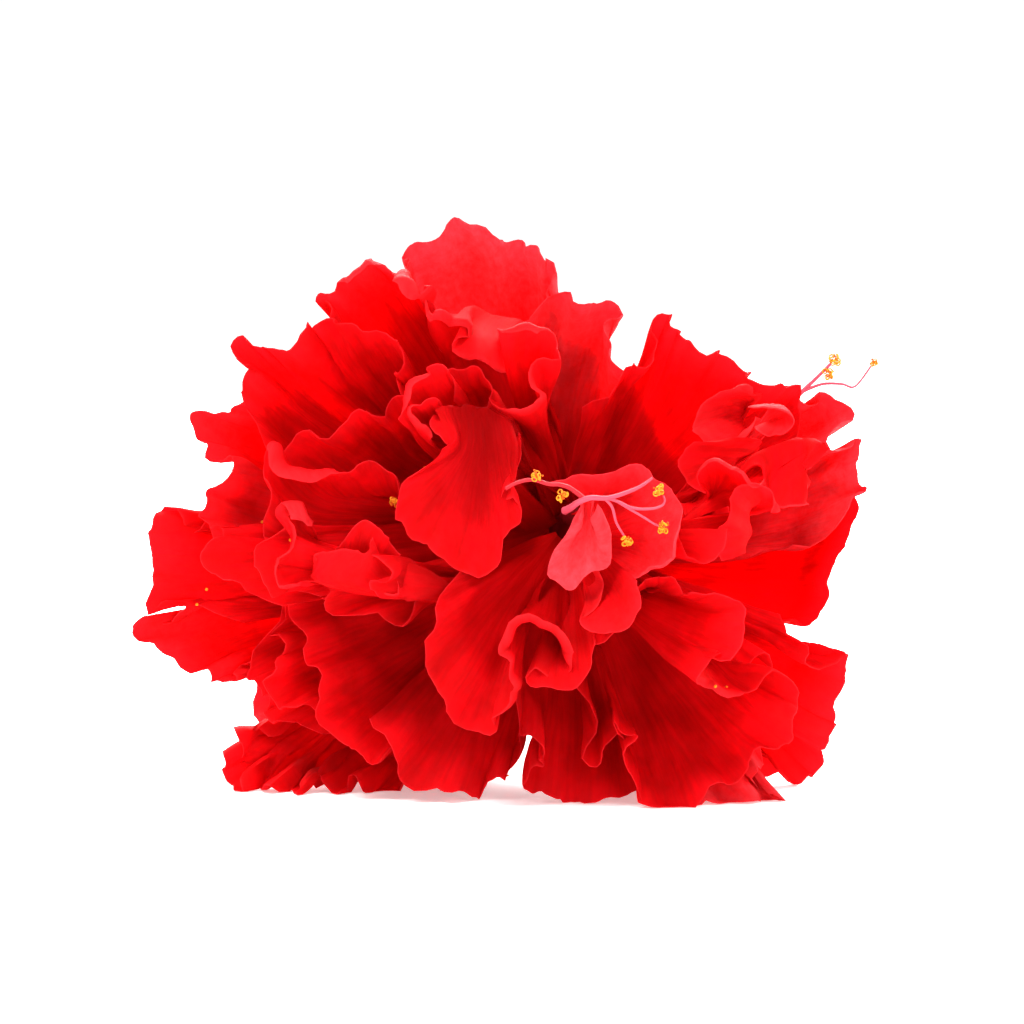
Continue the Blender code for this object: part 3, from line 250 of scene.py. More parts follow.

# The petals, from the back one to the front one, with points as (across, back, up).
# claw: half the angle round the column that the petal's foot takes up, in degrees.
# rim: its free margin. The blade bulges towards the points of via, or by hump where it has
# none, or it runs through the lines of through on its way to the rim.
# wave: height and number of the slow waves along the rim.
# ruffle, cut: how strong the ruffles and the nicks in the margin are, 1 if not given.
# curls: (first and last rim point, extra length, bending radius, turn) of lips that roll over.
# deeper red, partly painted shade: where it fades and how much there is, as in the default above.
PETALS = [
    dict(name="guard_top", claw=60, hump=(0, 4, 4), wave=(1.2, 3), rim=[
        (-24, 35, 74), (-17.5, 33, 84), (-15.8, 32, 89.3), (-14.6, 32, 90.7), (-14.9, 32, 91.8),
        (-13.8, 31, 93), (-12, 31, 93.7), (-9.7, 31, 95.6), (-8.3, 30.5, 97.7),
        (-6.7, 30, 98.5), (-5.2, 30, 98), (-0.7, 30.5, 95.6), (0.9, 31, 93.5),
        (3.3, 31, 93.7), (4.3, 31, 92.8), (6, 31, 93.3), (7, 30.5, 92.4), (6.7, 30, 90.7),
        (8.3, 30, 89.3), (7.8, 30.5, 86.3), (9, 31, 84), (17, 35, 74)]),
    dict(name="guard_upper_right", claw=45, hump=(0, 4, 2), wave=(1.0, 3), rim=[
        (0, 33, 78), (8.5, 29, 84.5), (13.4, 28, 84.7), (15.8, 28, 84), (19.1, 28, 82.3),
        (18.3, 28, 81.5), (18.2, 28, 79.8), (19.7, 27, 77.5), (20.3, 27, 74.7),
        (20.8, 27, 72), (25, 30, 64), (30, 33, 58)]),
    dict(name="guard_right", claw=60, deep_and_shaded=(0.0, 0.45, 0.5), ruffle=0.5,
         hump=(4, 8, 0), wave=(0.8, 4), rim=[
        (52, 24, 60), (57.5, 18, 56), (59.2, 16, 52.2), (59.2, 16, 49.8), (58.5, 15.5, 47),
        (58, 15, 43.7), (57.3, 15, 40.5), (55.7, 16, 37.5), (54.3, 16.5, 33.8),
        (52.6, 17, 31.2), (50.9, 17, 30.2), (47.7, 18, 30.2), (40, 23, 26), (32, 28, 22)]),
    dict(name="guard_lower_back", claw=50, wave=(0.0, 3), rim=[
        (6, 38, 19), (7.5, 46, 9), (12, 49, 5.0), (20, 50, 5.2), (30, 49, 5.1), (38, 46, 4.9),
        (42, 38, 13)],
        via=[(7, 28, 17), (12, 35, 3.2), (20, 36, 3.2), (29, 35, 3.2), (37, 28, 11)]),
    dict(name="guard_lower_back_left", claw=45, wave=(0.0, 3), rim=[
        (-41, 39, 21), (-40, 46, 9), (-34, 49, 5.0), (-26, 50, 5.2), (-16, 49, 5.1),
        (-7, 47, 5), (-3, 41, 14)],
        via=[(-34, 30, 18), (-29, 35, 3.2), (-20, 36, 3.2), (-11, 35, 3.2), (-4, 30, 12)]),
    dict(name="guard_lower_right", claw=50, ruffle=1.4, hump=(4, 6, -2), wave=(1.0, 5), rim=[
        (46, 24, 33), (47.7, 22, 30.2), (50.9, 22, 26.4), (51.6, 22, 25.3), (56.5, 22, 25.7),
        (57.6, 22, 26.4), (56.7, 22, 24.2), (56.5, 22, 20.8), (56.5, 22.5, 18.1),
        (56, 23, 14.4), (56.3, 23, 13.5), (55.1, 23, 12), (54.6, 24, 10), (52.8, 24.5, 9.5),
        (53.7, 25, 7), (53.5, 26, 5.6), (52.3, 26, 5.2), (51.2, 26.5, 5.2), (50.9, 27, 3.7),
        (50, 27, 3.3), (49.3, 27, 4), (49.3, 27, 5.2), (48.2, 27, 5.6), (44.4, 27, 4.4),
        (36, 29, 3), (30, 32, 5)]),
    dict(name="guard_lower_left", claw=55, deep_and_shaded=(0.1, 0.7, 0.5), ruffle=2.2, cut=2.0,
         hump=(-4, 6, -4), wave=(1.6, 7), rim=[
        (-30, 28, 24), (-36, 24, 15), (-39.3, 22, 12.5), (-41, 21, 11), (-42.4, 20.5, 11.6),
        (-44.2, 20, 11), (-43.4, 20, 9), (-43.9, 20, 7.6), (-45.5, 19, 7.4),
        (-44.8, 18.5, 5.4), (-45.2, 17, 3.4), (-43.2, 15, 2.4), (-41, 19, 4.2),
        (-38.6, 13, 2.2), (-36, 18.5, 4), (-33.6, 11.5, 1.8), (-30.6, 17.5, 3.8),
        (-27.4, 11, 1.6), (-25.4, 16.5, 3.2), (-22, 11.5, 1.8), (-17, 15, 2.8), (-12, 14, 2),
        (-6, 18, 3)]),
    dict(name="guard_left", claw=45, cut=1.8, hump=(-4, 8, 0), wave=(0.8, 4), rim=[
        (-36, 24, 38), (-44, 18, 36), (-50.7, 16, 32.8), (-52.4, 15.5, 31.2),
        (-56.2, 15, 30.7), (-58.9, 14.5, 31.6), (-60.8, 14, 30.4), (-60.8, 14, 28),
        (-58.9, 14, 26.5), (-55.7, 14, 26.3), (-54.3, 14, 24.3), (-51.5, 15, 22),
        (-48.5, 15, 22.5), (-48.3, 15, 20.2), (-46.4, 15, 20.2), (-45, 15.5, 21.2),
        (-43.8, 16, 21.2), (-43.2, 16.5, 22.5), (-41.5, 17, 23), (-36, 20, 20),
        (-30, 24, 17)]),
    dict(name="left_high", claw=44, hump=(-4, 8, 0), wave=(0.8, 4), rim=[
        (-42, 20, 54), (-49, 16.5, 47.5), (-50.8, 15.5, 45.2), (-52.6, 15, 46.6),
        (-54.7, 14.5, 48.3),
        (-56.3, 14, 48.8), (-58.2, 13, 47), (-58.7, 13, 45.2), (-57.7, 12, 42.5),
        (-57.7, 12, 38.3), (-58.9, 11, 33.2), (-58.2, 11.5, 32.4), (-56.2, 12, 34.6),
        (-53.3, 13, 34.9), (-51, 14, 33.8), (-42, 19, 30)]),
    dict(name="left_shoulder", claw=45, hump=(-4, 8, 0), wave=(0.8, 4), rim=[
        (-34, 22, 70), (-43.2, 17, 66.9), (-45.2, 16, 66.7), (-46.6, 15, 66.2),
        (-47.7, 14.5, 65.2), (-49.6, 14, 65.3), (-51.2, 14, 64.8), (-51.5, 14, 63.4),
        (-50.5, 14, 60.8), (-48.9, 14, 59.5), (-48.4, 14, 58), (-45.4, 14, 58.3),
        (-44.8, 14, 56.9), (-45.2, 14, 55.8), (-46.7, 13, 53), (-48.4, 13, 52),
        (-48.7, 13, 50.8), (-50.2, 14, 47.5), (-42, 18, 40), (-34, 22, 36)]),
    dict(name="right_shoulder", claw=44, deep_and_shaded=(0.0, 0.6, 0.5), hump=(4, 8, 0), wave=(0.8, 4), rim=[
        (40, 24, 66), (46, 21, 69), (50, 20, 69.2), (50.9, 20, 67.7), (52, 20, 67.5),
        (53.4, 19, 69.2), (55.7, 18.5, 67.8), (57.8, 18, 65.5), (57.3, 18, 63.7),
        (55.5, 18, 60.8), (57.2, 17.5, 60.8), (59, 17, 61.4), (60.2, 17, 61.1),
        (59.9, 17, 59), (59, 17, 57.3), (60.3, 16.5, 55.3), (60.3, 16, 53.5),
        (60.9, 16, 52.9), (59.2, 16.5, 52.3), (57, 18, 47), (50, 22, 42)]),
    dict(name="upper_right", claw=50, cut=1.5, hump=(2, 8, 2), wave=(1.0, 5), rim=[
        (14, 26, 66), (20.8, 24, 72), (23.2, 23, 74.3), (24, 22.5, 74.8), (25.2, 22, 77.5),
        (25.5, 20.5, 79.3), (27.1, 19, 80.8), (28.4, 19, 80.7), (29, 20, 79.7),
        (29.7, 21, 79.7), (31.4, 21, 77.8), (32.6, 20, 77.5), (34.5, 17.5, 75.7),
        (36.5, 18, 75.5), (36.8, 20, 74.3), (39.5, 21, 72.2), (41.2, 20, 72),
        (43.7, 18.5, 70.9), (46.7, 18.5, 70.9), (47.8, 19.5, 70.2), (50, 20, 69.2),
        (50, 23, 63), (47, 26, 57)]),
    dict(name="top_left_ruffle", claw=44, hump=(-1, 6, 2), wave=(0.6, 5), rim=[
        (-30, 22, 72), (-29.7, 18, 79.2), (-29, 17, 82.3), (-30.7, 17, 83.3),
        (-30.2, 16.5, 85), (-28, 16, 85.8), (-27.2, 16, 87.5), (-25.3, 16, 89.2),
        (-23, 14, 90.3), (-21.6, 13, 90.8), (-20.7, 14, 90.3), (-19, 18, 89.2),
        (-16.5, 18, 88.8), (-15, 13.5, 89), (-13.7, 13, 87.2), (-12.3, 14, 85.8),
        (-11.8, 15, 84), (-9, 18, 76)],
        curls=[(6, 15, 3.6, 2.2, 125)]),
    dict(name="upper_left", claw=50, hump=(-4, 10, -2), wave=(0.8, 5), rim=[
        (-38, 19, 58), (-43.3, 14, 66.9), (-43.2, 13, 69.2), (-42.4, 12.5, 71.5),
        (-41.5, 12, 73.3), (-44.6, 12, 76.3), (-42.7, 12, 77.9), (-41, 12, 75.9),
        (-39.7, 12, 74.7), (-36.8, 12, 75.5), (-35, 12, 76.3), (-33.8, 11, 78.9),
        (-33.3, 11, 79.7), (-32.2, 13, 78.5), (-29.5, 12, 79.3), (-27.7, 11, 79.2),
        (-25.3, 12, 79.2), (-23, 10, 78.7), (-19.3, 10, 79), (-17, 9, 78.2),
        (-15.8, 7, 77.5), (-16, 7.5, 75.7), (-17.2, 9, 73.3), (-17.7, 11, 72),
        (-17, 12, 70.7), (-16, 13, 69.2), (-13, 15, 66)]),
    dict(name="upper_left_inner", claw=44, deep_and_shaded=(0.15, 0.85, 0.35),
         hump=(-2, 8, 0), wave=(0.4, 3), rim=[
        (-37, 14, 57), (-34.8, 11, 59.5), (-32.2, 9, 60.8), (-28.5, 7, 62.3),
        (-26.7, 6, 64.2), (-24.3, 5, 65.7), (-23, 5, 66.2), (-21.8, 5, 66.3),
        (-20.7, 6, 64.8), (-19, 7.5, 63.8), (-18.2, 7, 64.5), (-17.4, 6, 65.7),
        (-16.3, 5.5, 66.2), (-13.7, 6, 65.7), (-11.8, 6, 64.2), (-11, 7, 62.3),
        (-10.5, 9, 59)]),
    dict(name="left_frill", claw=44, ruffle=1.5, cut=2.0, hump=(-2, 6, -2), wave=(0.8, 4), rim=[
        (-36, 16, 34), (-41.3, 14, 23), (-41.2, 13, 20.5), (-39.7, 13, 18.5),
        (-37.8, 13, 17.5), (-38.8, 13, 15.2), (-37.5, 13, 13.3), (-31, 14, 12),
        (-25, 16, 12)]),
    dict(name="left_frill_inner", claw=46, ruffle=1.4, hump=(-2, 6, -2), wave=(0.8, 4), rim=[
        (-33, 12, 36), (-38.2, 9, 28.2), (-36.6, 8.5, 26.8), (-37.4, 8, 24.5),
        (-38.4, 8, 20.5), (-36.5, 8, 17.5), (-34.5, 8, 16), (-30, 9, 15)]),
    dict(name="lower_left", claw=45, cut=1.8, deep_and_shaded=(0.2, 1.0, 0.35),
         hump=(-2, 8, -2), wave=(0.6, 3), rim=[
        (-31, 10, 40), (-32, 8, 36), (-33.7, 6, 34.2), (-33.9, 5, 31.8), (-32.6, 5, 29),
        (-32.2, 5, 27), (-32.4, 5, 23), (-30.6, 4.5, 21), (-29.6, 3.5, 18.5),
        (-29.3, 3.5, 15.2), (-26.7, 3, 10.7), (-24.5, 3, 8.5), (-21.2, 3, 7.5),
        (-18.3, 4, 9), (-16, 6, 12), (-10, 9, 15)]),
    dict(name="lower_left_front", claw=44, deep_and_shaded=(0.3, 1.3, 0.5), cut=2.0,
         hump=(0, 8, -2), wave=(0.5, 4), rim=[
        (-22, 9, 14), (-17.3, 7, 9.7), (-16.3, 6, 6.5), (-12.5, 6, 3.4), (-7.8, 6, 2.7),
        (-4.8, 6, 2.7), (-3.5, 6, 1.4), (-2.8, 6, 2.3), (-1.8, 6, 3.7), (-0.7, 6, 4.4),
        (0.7, 6, 3.7), (1.6, 6, 4.7), (1.8, 6, 7), (2.3, 6, 9.3), (3.2, 6.5, 12.5),
        (5, 8, 19)]),
    dict(name="lower_centre", claw=44, cut=1.6, deep_and_shaded=(0.3, 1.4, 0.5),
         hump=(0, 7, -2), wave=(0.5, 3), rim=[
        (1.5, 9, 24), (3.8, 5, 13), (4.3, 5, 12), (5.5, 4, 10.2), (5.8, 4, 8.3),
        (7.3, 3.5, 7.5), (6, 3, 5.2), (4.8, 2.5, 3.7), (5.8, 2, 2.6), (7.3, 2, 2.8),
        (9.7, 1.5, 1), (12, 1.5, 1.2), (15.3, 1, 0.7), (18, 1, 1), (21.8, 2, 3.7),
        (27, 4, 4), (28, 8, 10)]),
    dict(name="foot_right", claw=40, deep_and_shaded=(0.0, 0.6, 0.2), ruffle=1.5, cut=2.5,
         hump=(2, 6, -2), wave=(0.4, 3), rim=[
        (26, 6, 6), (30, 3, 0.6), (34, 2, 0.3), (38, 2, 0.2), (42.8, 2, 0.2),
        (42.8, 2.5, 2.3), (44.4, 3, 1.5), (46.3, 3, 0.7), (47, 3, 1.4), (45.8, 3.5, 2.8),
        (44.4, 4, 3.5), (43, 5, 4.2), (43, 8, 8), (40, 11, 14)]),
    dict(name="notch_petaloid", claw=36, hump=(2, 6, 0), wave=(0.3, 2), rim=[
        (33, 11, 20), (34, 10, 22), (36.5, 9, 23.3), (39.5, 9, 23), (42, 9, 23.7),
        (43.8, 9, 24.2), (44.8, 10, 22.3)]),
    dict(name="lower_right", claw=50, cut=1.6, deep_and_shaded=(0.25, 1.0, 0.5),
         hump=(2, 8, -2), wave=(0.4, 4), rim=[
        (13, 4, 22), (15.3, 0, 14), (15.3, -3, 8.2), (16.4, -3.5, 7.8), (17.8, -3, 9.8),
        (19.8, -2.5, 11.2), (21.7, -3, 11.2), (19, -5.5, 13.7), (20.5, -5.5, 12.9),
        (22.7, -5, 12.2), (23, -5, 11.2), (21.5, -4, 7.4), (21.5, -3, 4.7), (22.4, -2, 0.4),
        (25.8, -2, 0.6), (28.5, -2, 0.2), (32, -2, 1), (35.8, -3, 3.9), (38.4, -3, 4),
        (40.7, -3, 6), (41.2, -3, 8), (44.3, -2.5, 9), (46.3, -2, 10.2), (47.8, -2, 10),
        (48.6, -1.5, 11.7), (48.6, -1, 14.4), (49.1, -0.5, 16.2), (48.6, 0, 17.7),
        (46.8, -0.5, 19.5), (44.5, -1, 20.8), (40.7, -2, 20.7), (39.3, -3.5, 19.9),
        (36.6, -4.5, 19.5), (34.5, -5, 20), (32.8, -5.5, 21.3), (31.5, -5.5, 23.2),
        (31, -5.5, 24.5), (31.5, -6, 25.5), (33.3, -6, 26.4), (34.7, -6, 28),
        (34.7, -6, 30.2), (34, -6, 31.7), (32.4, -6, 32.2), (30.8, -5.5, 31.5),
        (29.6, -4.5, 29)],
        curls=[(31, 35, 1.5, 1.2, 110)]),
    dict(name="right_fold", claw=45, deep_and_shaded=(0.3, 1.1, 0.5), hump=(2, 8, 0), wave=(0.3, 3), rim=[
        (33, 3, 22), (34.2, 1, 25), (35.2, -0.5, 27.8), (37.3, -1, 27), (39.3, -1.5, 28),
        (40.5, -2, 30.6), (40.7, -2, 33.2), (39.3, -2, 35), (37.5, -2, 36.3),
        (35.2, -2, 36.7), (32.8, -1.5, 35.9), (31, -1, 35.3), (29.8, 0, 36.2),
        (29.6, 0, 37.5), (28.7, 0, 39.3), (26.8, 0, 40.2), (25.5, 0.5, 39.4),
        (23.6, 0, 37), (22.7, -0.5, 34.8), (21.8, -1, 32.9), (18.5, -2, 30.6),
        (15.7, -2, 28.3), (14, 1, 26)]),
    dict(name="crest_wave", claw=46, wave=(0.3, 3), rim=[
        (-12.5, 13, 84), (-11.2, 11, 82), (-10.2, 10, 82.7), (-8.3, 10, 82.3),
        (-6.7, 9, 80.8), (-5.3, 8, 79), (-6.7, 6.5, 77.8), (-7.2, 6, 76.3), (-5.6, 5.5, 75),
        (-4.4, 5, 74.5), (-2.8, 4.5, 73.3), (0, 4.5, 72.7), (1.8, 4.5, 73.3),
        (3.2, 5.5, 74.8), (3.7, 7, 77.5), (1.8, 8, 78.5), (0.5, 9, 79.7)],
        via=[(-10, 30, 74), (-4, 28, 94), (4, 28, 96), (6, 30, 80)],
        curls=[(1, 4.5, 2.4, 0.8, 170), (7, 13, 0.8, 0.6, 120)]),
    dict(name="crest_lobe_left", claw=40, hump=(-2, 5, 2), wave=(0.3, 3), rim=[
        (-16.5, 8, 65), (-16.4, 6, 67.3), (-16, 5, 68.7), (-14.3, 5, 70.6), (-11.6, 5, 72.2),
        (-11.3, 4.5, 73), (-9.7, 4.5, 74), (-7.8, 5, 73.3), (-7.5, 5.5, 71.5),
        (-8, 7, 69)], curls=[(1, 4, 1.6, 0.8, 150)]),
    dict(name="crest_lobe_middle", claw=40, hump=(0, 5, 2), wave=(0.2, 3), rim=[
        (-10, 8, 67), (-9.7, 6, 69), (-9.3, 5, 70.6), (-7.8, 4.5, 72.5), (-5.5, 4, 72.9),
        (-3.7, 4, 72.5), (-2.3, 4.5, 71), (-1.4, 5, 68.7), (-0.5, 6, 66.4), (0, 8, 65.5)]),
    dict(name="crest_lobe_low", claw=36, hump=(-1, 4, 2), wave=(0.2, 3), rim=[
        (-11, 5, 62.2), (-13.2, 4.5, 64.2), (-14.8, 4, 66.4), (-12.7, 3.5, 66.9),
        (-12, 3, 68.3), (-10.7, 3, 68.8), (-9.3, 3.5, 68), (-8, 5, 66)],
        curls=[(0, 2.2, 1.2, 0.7, 140)]),
    dict(name="crest_cup", claw=40, hump=(0, 3, 2), wave=(0.2, 3), rim=[
        (0, 10, 80.8), (2.5, 9, 80.9), (4.5, 8.5, 80.4), (6, 8, 79.3), (7.4, 7.5, 78.2),
        (8.5, 6.5, 76), (9.3, 6, 75.2), (7.3, 5.5, 74), (7, 5, 72.8), (7.8, 4.5, 70.2),
        (7.7, 4, 68.3), (6, 3.5, 66.7), (3.3, 3, 66), (0.5, 3, 66.2), (-1.5, 4, 68)],
        curls=[(0.5, 3.5, 2.2, 1.0, 130), (8, 13, 1.0, 0.8, 120)]),
    dict(name="right_flap", claw=40, ruffle=0.6, rim=[
        (41, 13, 69.2), (39.2, 11.5, 69.2), (38, 10.5, 68.8), (35.8, 9.5, 67),
        (33.7, 8.5, 65), (32.3, 8, 63.3), (32.2, 7.5, 62), (32.8, 6.5, 61.2),
        (35.3, 5.5, 60.8), (37.5, 5, 61.2), (38.8, 5, 60.7), (40, 5.5, 62), (41.8, 7, 63.3),
        (43, 9, 64.5)],
        through=[[(26, 15, 48.5), (26.5, 15, 47.7), (27, 15, 47), (27.5, 14.5, 46.2)],
                 [(43, 17, 67), (41.5, 18, 66), (40.5, 18, 64.5), (40.5, 17.5, 63),
                  (41.5, 16.5, 61.5), (43.5, 14.5, 61.5)]],
        curls=[(7.5, 12, 1.6, 1.2, 60)]),
    dict(name="right_flap_back", claw=36, ruffle=0.5, rim=[
        (42, 11, 66.6), (43.5, 10, 66.6), (45.8, 9.5, 66.2), (48, 9, 65.3), (48.5, 8.5, 64),
        (47.8, 8, 62.8), (46.3, 8, 62.3), (45, 8, 61.7), (43.7, 8.5, 62.3), (42.8, 9.5, 63.3)],
        through=[[(27, 14, 49), (27.5, 14, 48.3), (28, 14, 47.6), (28, 13.5, 46.8)],
                 [(44, 15, 65.5), (45, 15.5, 65), (45.5, 15.5, 64), (45, 15, 63)]]),
    dict(name="right_ruffle", claw=46, rim=[
        (33.8, 8.5, 61.5), (32.8, 7.5, 61), (31.7, 7, 59.8), (30.8, 6.5, 58.2), (31.2, 6.5, 56),
        (32.2, 6.5, 54.8), (33.7, 6, 54), (35.3, 5, 52.3), (36.8, 4, 50.7), (37, 4, 49.3),
        (35.8, 4.5, 48.5), (33.7, 5, 47.7), (32, 6, 47.3), (30.5, 7, 48.2)],
        through=[[(26, 13, 50.5), (26.5, 13, 49.8), (27, 13, 49), (27, 12.5, 48.2),
                  (26.5, 12, 47.4)],
                 [(43.5, 13.5, 61), (42.5, 15, 59), (39.5, 15.5, 57), (36.5, 14.5, 55.5),
                  (34.5, 13, 53.5), (33, 11.5, 52), (31.5, 11, 50.5), (30, 10.5, 49.5)]]),
    dict(name="right_cup", claw=36, ruffle=0.5, rim=[
        (44.3, 4, 54.5), (44.7, 3, 53), (44.7, 2, 51.7), (45.3, 1, 51), (46.3, 0.5, 50.5),
        (48.3, 0, 50.2), (50, 0, 50.3), (50.5, 0.3, 51.2), (50.3, 1, 53.2), (50, 1.5, 54.8),
        (50.5, 2.5, 56), (52, 3, 56.8)],
        through=[[(31, 12, 47), (31.5, 12, 47.6), (31.5, 12, 48.2), (31, 12, 48.8)],
                 [(42, 9, 57), (42.5, 11, 59.3), (45, 12, 60.6), (47.5, 12, 61),
                  (50, 11.5, 61.2), (52, 10, 61), (53.5, 8.5, 60.4)]],
        curls=[(2, 7, 1.2, 0.8, 90)]),
    dict(name="right_arch", claw=36, rim=[
        (34.3, 4, 54), (34.3, 2.5, 55.7), (35, 1.5, 56.8), (36.7, 0.5, 57.8), (38.8, 0, 58.7),
        (40.3, 0, 58.3), (41.5, 0.5, 57), (42, 1, 55.3), (42.8, 1.5, 54.8), (43.7, 2, 55.3)],
        through=[[(29, 11, 48.4), (29.5, 11, 49), (29.5, 11, 49), (29, 10.5, 48)],
                 [(35, 10, 52.5), (36, 12, 54), (38, 12.5, 55), (40, 12, 54.5),
                  (42, 10, 53)]],
        curls=[(1, 8, 1.0, 0.9, 80)]),
    dict(name="right_arch_lower", claw=36, rim=[
        (45, 4, 50), (45, 3, 51.5), (44.7, 2, 53.3), (43, 1.5, 54), (41.3, 1, 54.2),
        (39.5, 0.5, 53.8), (38.5, 0, 52), (38.2, 0, 49.8), (37.7, 0, 47.7), (36.8, 0.5, 45.7),
        (36.5, 1.5, 44), (37, 3, 41.8)],
        through=[[(29, 9, 49), (29.5, 9, 48.5), (29.5, 9, 47), (29.5, 8.5, 45.5),
                  (29.5, 8, 44.5)],
                 [(44.5, 8, 50), (43, 9, 51), (41.5, 10, 50), (41, 10.5, 48), (41, 10, 46),
                  (40, 9, 43.5)]]),
    dict(name="right_low", claw=36, hump=(2, 5, 0), wave=(0.3, 3), rim=[
        (36.5, 4, 48), (36.3, 3, 45), (35, 2.5, 43), (34, 2, 42.2), (32.2, 2, 41.6),
        (30.5, 2, 42.6), (29.8, 2.5, 44.5), (29, 5, 47)]),
    dict(name="left_mid_lobe", claw=36, hump=(-2, 6, 0), wave=(0.4, 3), rim=[
        (-36, 12, 34), (-44, 10, 38), (-47.8, 9, 39), (-49.3, 8, 42), (-48, 8, 44),
        (-46, 8, 44.5), (-45.5, 8, 46), (-48, 7, 47), (-42, 7, 43.5), (-38, 9, 42)]),
    dict(name="left_flap", claw=46, rim=[
        (-35, 9, 38), (-37.5, 8, 42), (-39, 7, 46), (-39, 6, 49), (-38.8, 5, 52.2),
        (-38.6, 4, 55), (-38, 3, 58), (-37.2, 2, 60), (-35, 1.5, 58.6), (-32.5, 1, 57.4),
        (-29.3, 1, 56.4), (-27, 0.5, 56), (-25, 0, 56), (-23, 0.5, 55.9), (-20, 1, 54.7),
        (-17.5, 2, 53), (-15.5, 5, 51)],
        through=[[(-3, 14, 46), (-5, 13, 47.5), (-6, 13, 49), (-6, 13, 50.5), (-5, 13, 51.5)],
                 [(-27, 14, 40), (-31, 13, 45), (-31, 12, 49), (-28, 11, 51), (-23, 10, 51.5),
                  (-18, 9, 51), (-14, 9, 50)]],
        curls=[(6.4, 10.5, 3.6, 1.8, 125)]),
    dict(name="left_curl", claw=36, hump=(-2, 6, 0), wave=(0.4, 3), rim=[
        (-34, 8, 47), (-39.5, 6, 44), (-40.5, 5, 40), (-39, 4, 36.8), (-38.5, 3.5, 36),
        (-37.2, 3.5, 35.6), (-36, 4, 36.4), (-34, 5, 36), (-29, 7, 35)]),
    dict(name="left_low_lobe", claw=40, hump=(-2, 6, -1), wave=(0.4, 3), rim=[
        (-29, 4, 36), (-28.8, 2, 34.5), (-27.4, 1, 36.4), (-28.5, 1, 33.6), (-24.7, 0, 31.5),
        (-20, 0, 31), (-15.8, 0, 31.5), (-13, 0, 33.5), (-11.5, 0, 35), (-9.3, 0, 36),
        (-9, 2, 38)]),
    dict(name="left_roll", claw=40, rim=[
        (-29, 2.5, 37.5), (-31, 1, 37), (-32, 0, 36.3), (-33.3, -0.5, 36), (-35, -0.5, 36.2),
        (-36.2, -1, 36.8), (-36.3, -1, 37.8), (-36, -1, 39), (-35.3, -1.5, 40.2),
        (-34.8, -1.5, 41.8), (-35, -2, 43.2), (-35.7, -2, 45.2), (-36.5, -2, 46.5),
        (-37.4, -2, 47.8), (-37.8, -1.5, 48.9), (-36.8, -1, 49.8), (-35, -1, 50.3),
        (-33.3, -1, 50.6), (-32.2, -0.5, 49.5), (-31.3, 1, 47.7)],
        through=[[(-3, 14, 38.5), (-3.5, 14, 39), (-3.5, 14, 39.5), (-3, 14, 40)],
                 [(-24, 9, 37.5), (-27, 7, 38), (-30, 4.5, 38.5), (-31.5, 2.5, 40),
                  (-31.8, 2, 42), (-31.5, 2.5, 44), (-30, 4.5, 44.5), (-27, 9, 43)]],
        curls=[(13, 18.5, 6.0, 1.6, 230), (3, 11.5, 0.6, 0.6, 80)]),
    dict(name="left_petaloid_high", claw=36, rim=[
        (-27, 3, 42), (-26.2, 2, 43.2), (-25.2, 1, 44.8), (-24.3, 0.5, 46.7), (-23, 0, 47.7),
        (-21.3, 0, 47.2), (-19.7, 0.5, 46.2), (-18.7, 1, 44.8), (-18.5, 2, 43.5),
        (-17, 3, 42)],
        through=[[(-2, 12, 38), (-2.5, 12, 38.5), (-2.5, 12, 39), (-2, 12, 39.4)],
                 [(-22, 7, 40), (-22.5, 6.5, 41), (-20, 6.5, 41.2), (-16.5, 7, 40.5)]]),
    dict(name="left_petaloid", claw=36, ruffle=0.4, rim=[
        (-31.6, 0, 39.8), (-31.4, -1, 41), (-30.3, -2, 41.9), (-28.3, -3, 42.4),
        (-25.8, -3.5, 42.4), (-23.8, -3.5, 42.3), (-22.7, -3.2, 41.9), (-21.8, -3, 42.5),
        (-21.3, -2.5, 44), (-21, -2, 45)],
        through=[[(-3, 9.5, 34.5), (-3.5, 9.5, 35), (-3.5, 9.5, 35.5), (-3, 9.5, 36)],
                 [(-28.5, 0.5, 37), (-28.5, -1.6, 37.2), (-26, -2.6, 37.4), (-23, -2.4, 37.6),
                  (-20, 0, 38.4), (-17, 3.5, 39.6)]]),
    dict(name="left_cup", claw=36, deep_and_shaded=(0.8, 1.0, 0.5), ruffle=0.4, rim=[
        (-20.5, -2, 42.6), (-19.4, -2.5, 41.6), (-18.4, -3, 40.4), (-18.2, -3.5, 39.5),
        (-19.2, -4, 39), (-20.5, -4.5, 38.6), (-21.2, -4.5, 37.6), (-21, -5, 36.6),
        (-20.2, -5, 36), (-19.3, -5.5, 35), (-18, -5.5, 34.8), (-16.8, -5.5, 35.3),
        (-16.2, -5.5, 36.5), (-16.5, -5.5, 38), (-17.3, -5, 39.6), (-18, -4.5, 41)],
        through=[[(-3, 7, 34), (-3.5, 7, 34.6), (-3.5, 7, 35.2), (-3, 7, 36)],
                 [(-15.5, 3, 41.6), (-14.5, 2.5, 41), (-14.5, 2, 39), (-14.5, 0.5, 36.6),
                  (-13, -1, 35.3), (-11, -2, 35.6), (-10.5, -2, 37.4), (-12, -1, 39.4)]],
        curls=[(8, 14, 0.8, 0.7, 90)]),
    dict(name="behind_stamens", claw=46, deep_and_shaded=(0.0, 0.6, 0.5), hump=(2, 5, 1), wave=(0.3, 3), rim=[
        (9, 12, 55), (13.8, 8, 56), (20, 6, 57.5), (22.2, 5, 57.7), (24.5, 4, 56.5),
        (25.5, 3.5, 55.3), (27.8, 2.5, 54), (29.5, 1, 51.5), (30, 0, 48.2), (29.5, -1, 44),
        (27.8, -1.5, 42.3), (25, -1.5, 41.5), (23, -1, 40.3), (21.8, 0, 38.8),
        (21.5, 1, 36.8), (17, 6, 34)], curls=[(8, 12, 0.6, 0.5, 100)]),
    dict(name="lower_lobe", claw=36, deep_and_shaded=(0.2, 1.0, 0.5), hump=(1, 4, 0), wave=(0.3, 3), rim=[
